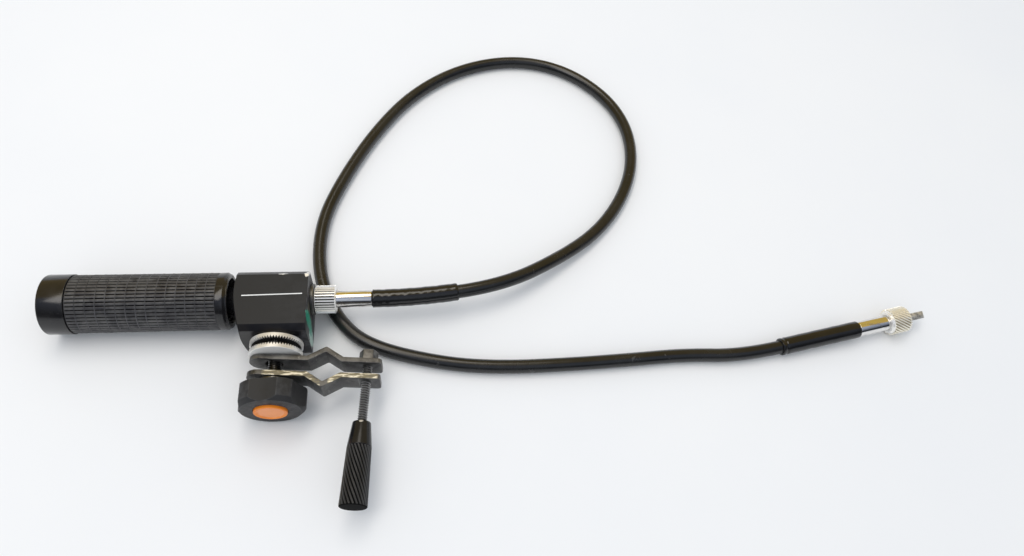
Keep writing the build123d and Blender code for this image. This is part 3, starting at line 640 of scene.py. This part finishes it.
# Housing: a sand-cast alloy block, milled, bored and painted black. The flat top keeps a finer
# texture and one thin white printed line. Bare metal shows at two chips, and green paint from
# a repair has run down the side with the outlet.
spot_group, given = shader_group(
    "ragged_spot", Place=(0.0, 0.0, 0.0), Squeeze=(1.0, 1.0, 1.0),
    Radius=0.001, Ragged=0.5, Scale=900.0)
spot_place = own_place(spot_group)
offset = maths(spot_group, "SUBTRACT", spot_place, given["Place"], kind="VectorMath")
offset = maths(spot_group, "MULTIPLY", offset, given["Squeeze"], kind="VectorMath")
distance = node(spot_group, "VectorMath", {"operation": "LENGTH"}, i0=offset).outputs["Value"]
rag = maths(spot_group, "SUBTRACT", noise(spot_group, spot_place, given["Scale"], 4.0, 0.7), 0.5)
rag = maths(spot_group, "MULTIPLY", rag, given["Ragged"])
inside = maths(
    spot_group, "SUBTRACT", maths(spot_group, "ADD", 1.0, rag),
    maths(spot_group, "DIVIDE", distance, given["Radius"]))
group_end(spot_group, Mask=ramp(spot_group, inside, 0.0, 0.1))


def spot(material, place, squeeze, radius, ragged, scale):
    """The mask of one chip, smear or spot with a ragged edge, in millimetres."""
    return effect(
        material, spot_group, Place=[value * mm for value in place], Squeeze=squeeze,
        Radius=radius * mm, Ragged=ragged, Scale=scale)["Mask"]


def own_axes(tree):
    """The three coordinates of the place on the piece, in metres."""
    return node(tree, "SeparateXYZ", Vector=own_place(tree)).outputs


def between(tree, value, low, high, soft):
    """1 where a value lies between two bounds, with a soft edge, all in millimetres."""
    return maths(tree, "MULTIPLY", ramp(tree, value, (low - soft) * mm, (low + soft) * mm),
                 ramp(tree, value, (high - soft) * mm, (high + soft) * mm, 1.0, 0.0))


def dressed(solid, bevel):
    """A rounded-edge copy of a CAD node's mesh: merged, its flats made whole, then bevelled."""
    shape = bmesh.new()
    shape.from_mesh(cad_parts[solid].data)
    bmesh.ops.remove_doubles(shape, verts=shape.verts, dist=1e-6)
    bmesh.ops.dissolve_limit(
        shape, angle_limit=math.radians(0.4), verts=shape.verts, edges=shape.edges)
    sharp = [edge for edge in shape.edges
             if len(edge.link_faces) == 2 and edge.calc_face_angle(0.0) > math.radians(28.0)]
    bmesh.ops.bevel(
        shape, geom=sharp, offset=bevel * mm, segments=3, profile=0.5, affect="EDGES",
        clamp_overlap=True)
    return as_mesh(shape, solid, outwards=False)


paint_finish = finish(
    "housing_paint", (0.007, 0.007, 0.009), (0.011, 0.010, 0.010), (0.30, 0.38),
    grain=520.0, bump=0.02, shine=0.3)
rule_white = bare_metal = (0.80, 0.79, 0.76)
housing_top = 35.8
paint_tree = paint_finish.node_tree
paint_at = own_axes(paint_tree)
top_mask = between(paint_tree, paint_at["Z"], housing_top - 0.06, housing_top + 1.0, 0.02)
specks = ramp(paint_tree, noise(paint_tree, own_place(paint_tree), 2600.0, 2.0), 0.35, 0.62, 0.45)
over(paint_finish, maths(paint_tree, "MULTIPLY", top_mask, specks), (0.027, 0.027, 0.027), 0.75)
rule_middle = maths(paint_tree, "MULTIPLY_ADD", paint_at["X"], 0.02, -5.35 * mm)
rule_across = maths(paint_tree, "SUBTRACT", paint_at["Y"], rule_middle)
rule_mask = maths(
    paint_tree, "MULTIPLY", between(paint_tree, rule_across, -0.36, 0.36, 0.08),
    between(paint_tree, paint_at["X"], -18.6, 17.2, 0.1))
over(paint_finish, maths(paint_tree, "MULTIPLY", rule_mask, top_mask), rule_white, 0.5)
worn(paint_finish, 0.53, 0.60, 200.0, (0.09, 0.09, 0.10), 0.4)
for place, squeeze, radius in (
        ((4.4, 9.3, 35.5), (0.5, 1.9, 1.0), 1.35), ((6.9, 9.4, 35.5), (0.8, 1.6, 1.0), 0.8),
        ((19.3, 9.4, 35.6), (1.0, 0.55, 0.8), 1.5), ((20.2, 11.4, 33.2), (1.0, 0.8, 0.6), 1.3)):
    over(paint_finish, spot(paint_finish, place, squeeze, radius, 1.3, 800.0), bare_metal, 0.4, 0.6)
outlet_side = between(paint_tree, paint_at["X"], 20.05, 21.0, 0.08)
for place, squeeze, radius, colour in (
        ((20.3, -13.0, 25.0), (1.0, 0.7, 0.9), 5.2, (0.10, 0.095, 0.07)),
        ((20.3, -17.5, 23.0), (1.0, 1.2, 0.42), 5.6, (0.010, 0.26, 0.15)),
        ((20.3, -22.5, 9.5), (1.0, 1.0, 0.5), 4.6, (0.40, 0.58, 0.50)),
        ((20.3, -20.0, 14.0), (1.0, 1.2, 0.6), 3.4, (0.02, 0.34, 0.22))):
    smear = spot(paint_finish, place, squeeze, radius, 1.5, 260.0)
    over(paint_finish, maths(paint_tree, "MULTIPLY", smear, outlet_side), colour, 0.3)
assembled(
    "housing_block", [dressed("housing", 0.35)], [paint_finish], "housing", "housing",
    sharp=30.0)

# Bearing flange and nose: a turned flange pressed in the housing, blackened. Its nose reaches
# inside the grip's tube and carries the bronze bush. The threaded outlet is bare dark steel.
assembled("flange_and_nose", [turned(
    [(-48.75, 6.45), (-48.75, 8.4, 0.4), (-24.5, 8.4, 0.3), (-24.5, 13.0, 0.25),
     (-23.55, 13.0, 0.1), (-23.55, 10.4), (-11.5, 10.4), (-11.5, 6.45)], around=128)],
    [anodised_finish], "housing", "bearing_flange", place=drive_place)
boss_finish = finish(
    "outlet_steel", (0.10, 0.10, 0.098), (0.16, 0.155, 0.15), (0.34, 0.5),
    metallic=0.9, grain=420.0, bump=0.02)
worn(boss_finish, 0.52, 0.58, 400.0, (0.6, 0.58, 0.55), 0.3)
assembled("outlet_boss", [turned(
    [(20.3, 5.35), (20.3, 10.0, 0.1), (22.45, 10.0, 0.4), (22.45, 7.0), (29.85, 7.0, 0.3),
     (29.85, 5.35)])], [boss_finish], "housing", "output_boss", place=drive_place)

# Toothed swivel joint: two bright steel discs with sixty radial teeth each. One is screwed to
# the housing, and the other turns with the clamp. They are drawn together by the knob.
stud_x = 1.75
stud_z = 20.0
teeth = 60
tooth_inner = 10.0
rosette_radius = 15.8
tooth_base = 1.8
tooth_top = 3.2
rosette_finish = finish(
    "rosette_steel", (0.82, 0.81, 0.78), (0.66, 0.64, 0.60), (0.34, 0.48),
    metallic=0.55, grain=650.0, bump=0.012)
scratched(rosette_finish, 330.0, 0.58, (0.46, 0.43, 0.38), 0.5)
rosette_tree = rosette_finish.node_tree
# Painted shade: inside the gap between the two discs, the faces below the rims and deep in the
# teeth are painted near black, as the shade that falls there.
from_stud = maths(
    rosette_tree, "SUBTRACT", own_place(rosette_tree),
    (stud_x * mm, 0.0, stud_z * mm), kind="VectorMath")
from_stud = maths(rosette_tree, "MULTIPLY", from_stud, (1.0, 0.0, 1.0), kind="VectorMath")
stud_distance = node(rosette_tree, "VectorMath", {"operation": "LENGTH"}, i0=from_stud)
rim_gap_painted_shade, deep_gap_painted_shade = [
    ramp(rosette_tree, stud_distance.outputs["Value"], (rosette_radius - depth) * mm,
         (rosette_radius - depth + 0.35) * mm, 1.0, 0.0) for depth in (0.5, 1.4)]
stud_along = own_axes(rosette_tree)["Y"]
off_crests = maths(
    rosette_tree, "SUBTRACT", 1.0, between(rosette_tree, stud_along, -38.0, -33.35, 0.15))
gap_painted_shade = maths(
    rosette_tree, "MAXIMUM", deep_gap_painted_shade, maths(rosette_tree, "MULTIPLY", rim_gap_painted_shade, off_crests))
gap_painted_shade = maths(
    rosette_tree, "MULTIPLY", gap_painted_shade, between(rosette_tree, stud_along, -38.7, -32.6, 0.1))
over(rosette_finish, gap_painted_shade, (0.030, 0.029, 0.028), 0.6, 0.3)
# Painted light: the loose disc's front face is painted paler than the steel, to lighten it where it
# lies in shade.
front_face_painted_light = between(rosette_tree, stud_along, -41.5, -40.3, 0.05)
over(rosette_finish, front_face_painted_light, (0.92, 0.90, 0.86), 0.4, 0.15)


def tooth_wedge():
    """One radial tooth, narrow at the inside, with a thin flat crest."""
    shape = bmesh.new()
    ends = []
    for radius in (tooth_inner, rosette_radius):
        half = radius * math.tan(math.pi / teeth)
        ends.append(
            [shape.verts.new((along * mm, half * share * mm, radius * mm))
             for along, share in ((tooth_base - 0.25, 1.0), (tooth_base, 0.97),
                                  (tooth_top, 0.08), (tooth_top, -0.08),
                                  (tooth_base, -0.97), (tooth_base - 0.25, -1.0))])
    joined(shape, ends, capped=True)
    return as_mesh(shape, "tooth")


def on_stud(along, heading=-90.0):
    """A place on the stud's axis for a piece turned about X, which then points to the front."""
    return (Matrix.Translation((stud_x * mm, along * mm, stud_z * mm))
            @ Matrix.Rotation(math.radians(heading), 4, "Z"))


teeth_ring = grown(ring_tree, tooth_wedge(), Count=teeth, Rows=1, Finish=rosette_finish)
disc_face = [
    (0.0, rosette_radius, 0.25), (tooth_base, rosette_radius), (tooth_base, tooth_inner),
    (1.9, tooth_inner), (1.9, 4.4)]
for name, disc_back, body, solid, disc_place in (
        ("fixed_toothed_disc", [(-2.45, 4.4), (-2.45, 10.0), (0.0, 10.0)], "housing",
         "fixed_rosette", on_stud(-30.9)),
        ("loose_toothed_disc", [(0.0, 4.4)], "loose_disc", "loose_rosette",
         on_stud(-40.457, heading=90.0))):
    assembled(name, [turned(disc_back + disc_face, around=120), teeth_ring], [rosette_finish],
              body, solid, place=disc_place, sharp=25.0)

# Clamp jaws: two strips of 3 mm steel, blanked, bent to a vee and blackened. Handling has rubbed
# the front jaw's upper edge, and a painted warm reflection and a painted highlight line lighten it
# in streaks.
jaw_finish = finish(
    "jaw_steel", (0.042, 0.041, 0.040), (0.13, 0.128, 0.123), (0.36, 0.5),
    metallic=0.6, grain=900.0, bump=0.08)
scratched(jaw_finish, 260.0, 0.6, (0.21, 0.205, 0.20), 0.42, (3.0, 1.0, 0.4))
worn(jaw_finish, 0.52, 0.60, 220.0, (0.34, 0.33, 0.31), 0.4)
front_jaw_finish = jaw_finish.copy()
front_jaw_finish.name = "worn_and_lit_jaw_steel"
jaw_tree = front_jaw_finish.node_tree
jaw_at = own_axes(jaw_tree)
jaw_top = stud_z + 8.0
# Painted reflection and highlight: along the front jaw's rubbed upper edge, streaks are painted
# khaki as a warm reflection, with a pale highlight line in the brightest of them; some stretches
# are left plain.
long_streaks = maths(
    jaw_tree, "MULTIPLY", own_place(jaw_tree), (0.22, 1.0, 1.0), kind="VectorMath")
streaks = noise(jaw_tree, long_streaks, 560.0, 3.0)
rubbed_lit_edge = maths(
    jaw_tree, "MULTIPLY",
    ramp(jaw_tree, jaw_at["Z"], (jaw_top - 0.35) * mm, (jaw_top - 0.05) * mm),
    ramp(jaw_tree, streaks, 0.32, 0.44))
plain_edge_stretches = maths(
    jaw_tree, "ADD", between(jaw_tree, jaw_at["X"], -20.0, -3.2, 1.2),
    between(jaw_tree, jaw_at["X"], 29.6, 34.4, 0.6))
rubbed_lit_edge = maths(jaw_tree, "MULTIPLY", rubbed_lit_edge, maths(jaw_tree, "SUBTRACT", 1.0, plain_edge_stretches))
over(front_jaw_finish, rubbed_lit_edge, (0.19, 0.165, 0.105), 0.5, 0.4)
painted_highlight_line = maths(jaw_tree, "MULTIPLY", rubbed_lit_edge, ramp(jaw_tree, streaks, 0.51, 0.56))
over(front_jaw_finish, painted_highlight_line, (0.66, 0.61, 0.48), 0.45, 0.4)
assembled(
    "rear_jaw_strip", [dressed("rear_jaw", 0.4)], [jaw_finish], "clamp", "rear_jaw",
    sharp=30.0)
assembled(
    "front_jaw_strip", [dressed("front_jaw", 0.4)], [front_jaw_finish], "front_jaw",
    "front_jaw", sharp=30.0)

# Clamp screw: a blackened steel screw with a rolled thread, pinned in a hexagon nut behind the
# rear jaw and pressed in the handle.
thread_tree, given = geometry_tree("rolled_thread", {
    "Start": "Geometry", "Radius": "Float", "Pitch": "Float", "Length": "Float", "Depth": "Float",
    "Finish": "Material"})
thread_turns = maths(thread_tree, "DIVIDE", given["Length"], given["Pitch"])
thread_line = node(
    thread_tree, "GeometryNodeCurveSpiral", Resolution=40, Rotations=thread_turns,
    Start_Radius=given["Radius"], End_Radius=given["Radius"], Height=given["Length"])
thread_upright = node(
    thread_tree, "GeometryNodeSetCurveNormal", {"mode": "Z_UP"}, Curve=thread_line.outputs[0])
thread_section = node(thread_tree, "GeometryNodeCurvePrimitiveCircle", Resolution=4, Radius=1.0)
section_size = node(
    thread_tree, "CombineXYZ", X=given["Depth"],
    Y=maths(thread_tree, "MULTIPLY", given["Pitch"], 0.36), Z=1.0)
thread_shaped = node(
    thread_tree, "GeometryNodeTransform", Geometry=thread_section.outputs[0],
    Scale=section_size.outputs[0])
thread_solid = node(
    thread_tree, "GeometryNodeCurveToMesh", Curve=thread_upright.outputs[0],
    Profile_Curve=thread_shaped.outputs[0], Fill_Caps=True)
tree_end(thread_tree, thread_solid.outputs[0], given["Finish"])


def thread(start, length, crest, pitch, depth, material):
    """A thread about X: its ridge winds on a plain core of the root radius."""
    wound = grown(
        thread_tree, bpy.data.meshes.new("thread_start"), Radius=(crest - depth) * mm,
        Pitch=pitch * mm, Length=length * mm, Depth=depth * mm, Finish=material)
    wound.transform(
        Matrix.Translation((start * mm, 0.0, 0.0)) @ Matrix.Rotation(math.radians(90.0), 4, "Y"))
    return wound


screw_finish = finish(
    "screw_steel", (0.010, 0.010, 0.011), (0.018, 0.018, 0.018), (0.32, 0.45),
    metallic=0.5, grain=500.0, bump=0.01)
crest_finish = finish(
    "thread_crests", (0.26, 0.255, 0.25), (0.16, 0.16, 0.16), (0.3, 0.42),
    metallic=0.6, grain=500.0, bump=0.01)
screw_lean = Matrix.Rotation(math.radians(-4.2), 4, "Z")
screw_place = (
    Matrix.Translation((56.862 * mm, -45.641 * mm, stud_z * mm)) @ screw_lean
    @ Matrix.Rotation(math.radians(-90.0), 4, "Z"))
thread_depth = 0.5
screw_root = 2.3
screw_crest = 2.9
screw_pitch = 1.5
thread_start = 0.5
thread_end = 37.0
screw_core = turned(
    [(-7.4, 0.0), (-7.4, screw_crest, 0.2), (thread_start, screw_crest),
     (thread_start, screw_root), (thread_end, screw_root),
     (thread_end, screw_crest), (53.75, screw_crest, 0.2), (53.75, 0.0)], closed=False, around=48)
screw_ridge = thread(
    thread_start, thread_end - thread_start, screw_crest, screw_pitch, thread_depth, crest_finish)
assembled(
    "clamp_screw_rod", [screw_core, (screw_ridge, 1)], [screw_finish, crest_finish], "screw",
    "clamp_screw", place=screw_place)
assembled(
    "screw_end_hexagon", [dressed("screw_end_nut", 0.25)], [jaw_finish], "screw",
    "screw_end_nut", sharp=30.0)

# Clamp handle: turned from black-dyed alloy. Its neck is smooth and tapered, and the thicker
# end has a spiral knurl. The black is rubbed through at one spot on the neck's rim.
handle_finish = finish(
    "handle_black", (0.008, 0.008, 0.009), (0.013, 0.013, 0.014), (0.18, 0.26),
    grain=420.0, bump=0.006, shine=0.3)
worn(handle_finish, 0.54, 0.62, 350.0, (0.06, 0.06, 0.062), 0.3)
bare_spot = spot(handle_finish, (54.1, -84.0, 25.1), (0.7, 1.0, 1.0), 0.9, 0.8, 700.0)
over(handle_finish, bare_spot, (0.50, 0.49, 0.47), 0.4, 0.6)
end_finish = finish(
    "handle_end_black", (0.003, 0.003, 0.003), (0.005, 0.005, 0.005), (0.8, 0.9),
    grain=420.0, bump=0.01, shine=0.1)
knurl_finish = finish(
    "handle_knurl", (0.030, 0.030, 0.031), (0.045, 0.045, 0.046), (0.42, 0.55),
    grain=420.0, bump=0.02, shine=0.45)
handle_top = 37.8
handle_shoulder = 52.0
handle_end = 86.4
handle_ridges = 22
handle_body = turned(
    [(handle_top, 2.95), (handle_top, 5.35, 0.6), (handle_shoulder, 7.05, 0.5),
     (handle_shoulder + 0.6, 6.5)], closed=False)
handle_grip = turned(
    [(handle_shoulder + 0.6, 6.5), (handle_end - 0.6, 7.4),
     (handle_end - 0.4, 7.9)], closed=False)
handle_face = turned(
    [(handle_end - 0.4, 7.9, 0.2), (handle_end, 7.5, 0.3), (handle_end, 0.0)], closed=False)
handle_knurl = grown(
    ring_tree, ridge(handle_shoulder + 0.4, handle_end - 0.5, 6.35, 7.25, 1.55,
                     0.74, twist=-2.1, steps=44, crest=0.35),
    Count=handle_ridges, Rows=1, Finish=knurl_finish)
assembled(
    "clamp_handle_grip", [handle_body, (handle_face, 1), (handle_grip, 1), (handle_knurl, 2)],
    [handle_finish, end_finish, knurl_finish], "screw", "clamp_handle",
    place=screw_place, sharp=24.0)

# Pivot stud and washer: a plated threaded stud screwed in the housing, with a plain washer
# under the knob. The stud shows between the jaws.
stud_finish = finish(
    "stud_steel", (0.13, 0.13, 0.13), (0.08, 0.08, 0.08), (0.24, 0.34),
    metallic=1.0, grain=600.0, bump=0.01)
stud_back = -28.4
stud_radius = 3.95
stud_core = turned(
    [(-14.0, 0.0), (-14.0, stud_radius, 0.4), (10.0, stud_radius), (10.0, 3.4),
     (39.1, 3.4), (39.1, stud_radius), (40.86, stud_radius, 0.5), (40.86, 0.0)],
    closed=False, around=48)
stud_ridge = thread(10.0, 29.1, stud_radius, 1.25, thread_depth, stud_finish)
assembled(
    "threaded_stud", [stud_core, stud_ridge], [stud_finish], "housing", "pivot_stud",
    place=on_stud(stud_back))
washer_back = 55.714 + stud_back
assembled("plain_washer", [turned([
    (washer_back, 4.08), (washer_back, 8.5, 0.2), (washer_back + 1.5, 8.5, 0.2),
    (washer_back + 1.5, 4.08)], around=64)], [stud_finish], "washer", "knob_washer",
    place=on_stud(stud_back))

# Star knob: moulded in matte black thermoset over a brass insert. Five broad lobes are parted by
# shallow hollows, and the front bevels down to the plug.
knob_finish = finish(
    "knob_black", (0.016, 0.016, 0.017), (0.026, 0.026, 0.027), (0.46, 0.6),
    grain=380.0, bump=0.035, shine=0.3)
worn(knob_finish, 0.515, 0.56, 260.0, (0.085, 0.085, 0.088), 0.45)
knob_lobes = 5
knob_radius = 20.0
knob_lobe_angle = math.radians(26.0)
knob_first_lobe = math.radians(30.0)
knob_valley = 17.6
knob_front_bevel = 2.5
knob_back_round = 0.9
knob_back = 60.664 + stud_back
knob_depth = 13.7


def knob_reach(angle):
    """The knob's radius at an angle from a lobe's middle: full on the lobe, then a hollow arc."""
    half = math.pi / knob_lobes
    inside = half - abs((angle + half) % (2 * half) - half)
    half_hollow = half - knob_lobe_angle / 2
    chord = knob_radius * math.sin(half_hollow)
    depth = knob_radius * math.cos(half_hollow) - knob_valley
    hollow = (chord ** 2 + depth ** 2) / (2 * depth)
    centre = knob_valley + hollow
    outer = centre * math.cos(inside) - math.sqrt(hollow ** 2 - (centre * math.sin(inside)) ** 2)
    return (knob_radius + outer - math.sqrt((knob_radius - outer) ** 2 + 0.012)) / 2


# The lobed body's sections, from back to front: the round hub, the rims, and the plug's recess.
knob_sections = [(-3.4, 5.0), (-3.4, 9.1), (-3.0, 9.5), (0.0, 9.5)]
for step in range(5):
    turn = math.pi / 2 * step / 4
    knob_sections.append(
        (knob_back_round * (1 - math.cos(turn)),
         knob_radius - knob_back_round * (1 - math.sin(turn))))
for step in range(12):
    share = step / 11
    knob_sections.append(
        (knob_depth - knob_front_bevel * (1 - share) * 1.1,
         knob_radius - knob_front_bevel * share ** 1.25))
knob_sections += [
    (knob_depth, 16.6), (knob_depth, 10.3), (knob_depth - 0.3, 9.8),
    (knob_depth - 1.5, 9.75), (knob_depth - 1.5, 5.0)]
knob_angles = [2 * math.pi * step / (knob_lobes * 120) for step in range(knob_lobes * 120)]
knob_outline = [(angle, knob_reach(angle - knob_first_lobe)) for angle in knob_angles]
knob_shape = bmesh.new()
knob_loops = [
    [knob_shape.verts.new((along * mm, min(limit, reach) * math.sin(angle) * mm,
                           min(limit, reach) * math.cos(angle) * mm))
     for angle, reach in knob_outline] for along, limit in knob_sections]
joined(knob_shape, knob_loops + knob_loops[:1])
assembled(
    "lobed_knob", [as_mesh(knob_shape, "knob")], [knob_finish], "knob", "star_knob",
    sharp=26.0, place=on_stud(stud_back)
    @ Matrix.Translation((knob_back * mm, 0.0, 0.0)))

# Knob plug: an orange moulded plug, pressed in the knob's front. Its face is slightly dished,
# and handling has paled the middle.
plug_finish = finish(
    "plug_orange", (0.82, 0.20, 0.004), (0.88, 0.25, 0.01), (0.34, 0.46), grain=500.0, bump=0.02)
plug_front = 74.364 + 1.4
paled = spot(plug_finish, (stud_x, -plug_front, stud_z), (1.0, 1.0, 1.0), 7.8, 0.7, 220.0)
over(plug_finish, maths(plug_finish.node_tree, "MULTIPLY", paled, 0.55), (0.90, 0.40, 0.20), 0.45)
plug_start = 72.85 + stud_back
plug_face = plug_front + stud_back
assembled("orange_plug", [turned([
    (plug_start, 0.0), (plug_start, 9.7, 0.2), (plug_face, 9.7, 0.5), (plug_face, 8.6, 0.3),
    (plug_face - 0.45, 7.4, 0.6), (plug_face - 0.6, 0.0)], closed=False)], [plug_finish], "knob",
    "knob_cap", place=on_stud(stud_back))

# Inner pieces, which show only where a view looks in past the grip's tube or the knob: bronze
# bushes and brass insert, a steel spindle with its hub, nut and clip, and a nylon drag washer.
bronze_finish = finish(
    "bush_bronze", (0.50, 0.31, 0.14), (0.40, 0.24, 0.11), (0.35, 0.5),
    metallic=1.0, grain=700.0, bump=0.02)
steel_finish = finish(
    "inner_steel", (0.44, 0.43, 0.42), (0.34, 0.33, 0.32), (0.3, 0.42),
    metallic=1.0, grain=600.0, bump=0.01)
nylon_finish = finish(
    "drag_nylon", (0.72, 0.70, 0.64), (0.66, 0.64, 0.58), (0.45, 0.55), grain=500.0, bump=0.01)
for material, names in (
        (bronze_finish, ("nose_bush", "housing_bush", "knob_insert")),
        (nylon_finish, ("drag_washer",)),
        (steel_finish, ("drive_spindle", "drive_hub", "hub_nut", "wave_spring", "spindle_clip",
                        "core_square", "rosette_screws"))):
    for name in names:
        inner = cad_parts[name]
        inner.data.materials.clear()
        inner.data.materials.append(material)

# Table: a plain pale cloth-covered top, faintly mottled, that fills the view.
table_finish = finish(
    "pale_table", (0.85, 0.84, 0.825), (0.82, 0.815, 0.81), (0.8, 0.9), grain=14.0, bump=0.0)
table_shape = bmesh.new()
bmesh.ops.create_circle(table_shape, cap_ends=True, segments=96, radius=4.0)
table_mesh = as_mesh(table_shape, "table_top", outwards=False)
table_mesh.materials.append(table_finish)
table_top = shown("table_top", table_mesh)
table_top.location = (0.0, 0.0, -0.05 * mm)


# Light: one broad soft lamp overhead, a weaker cool one in front, and a pale even room.
# Camera, mirror and glass rays see the room's walls, pale round the table. Above that the wall
# behind the object is cream, and the one in front is blue and gets lighter towards the ceiling.
def lamp(name, place, aim, size, power, colour):
    """A rectangular area lamp that points from one place at another, in metres."""
    light = bpy.data.lights.new(name, "AREA")
    light.shape = "RECTANGLE"
    light.size, light.size_y = size
    light.energy = power
    light.color = colour
    made = shown(name, light)
    made.location = place
    made.rotation_euler = (Vector(aim) - Vector(place)).to_track_quat("-Z", "Y").to_euler()


lamp("overhead_lamp", (-0.25, 0.2, 1.5), (0.05, 0.0, 0.0), (1.8, 0.5), 11.0, (1.0, 0.955, 0.89))
lamp("front_lamp", (0.3, -1.2, 1.3), (0.1, 0.0, 0.0), (1.6, 0.9), 1.0, (0.86, 0.93, 1.0))

world = bpy.data.worlds.new("pale_room")
bpy.context.scene.world = world
world.use_nodes = True
world_tree = world.node_tree
world_tree.nodes.clear()


def wall(colour, strength):
    """The light of a wall or of the whole room."""
    return node(world_tree, "Background", Color=(*colour, 1.0), Strength=strength).outputs[0]


def blend(share, first, second):
    """The first light, and the second where the share is 1."""
    return node(world_tree, "MixShader", i0=share, i1=first, i2=second).outputs[0]


seen = node(world_tree, "LightPath").outputs
straight = maths(world_tree, "MAXIMUM", seen["Is Camera Ray"], maths(
    world_tree, "MAXIMUM", seen["Is Glossy Ray"], seen["Is Transmission Ray"]))
facing = node(
    world_tree, "SeparateXYZ", Vector=node(world_tree, "TexCoord").outputs["Generated"]).outputs
far_side = ramp(world_tree, facing["Y"], -0.12, 0.04, soft=True)
near_glow = ramp(world_tree, facing["Z"], 0.35, 0.97, 0.04, 0.75, soft=True)
low_wall = ramp(world_tree, facing["Z"], 0.08, 0.2, 1.0, 0.0, soft=True)
walls = blend(far_side, wall((0.50, 0.56, 0.72), near_glow), wall((1.0, 0.70, 0.17), 0.56))
backdrop = blend(low_wall, walls, wall((0.80, 0.82, 0.85), 1.0))
room_light = blend(straight, wall((0.87, 0.925, 1.0), 0.84), backdrop)
node(world_tree, "OutputWorld", Surface=room_light)
bpy.context.scene.view_settings.view_transform = "Standard"
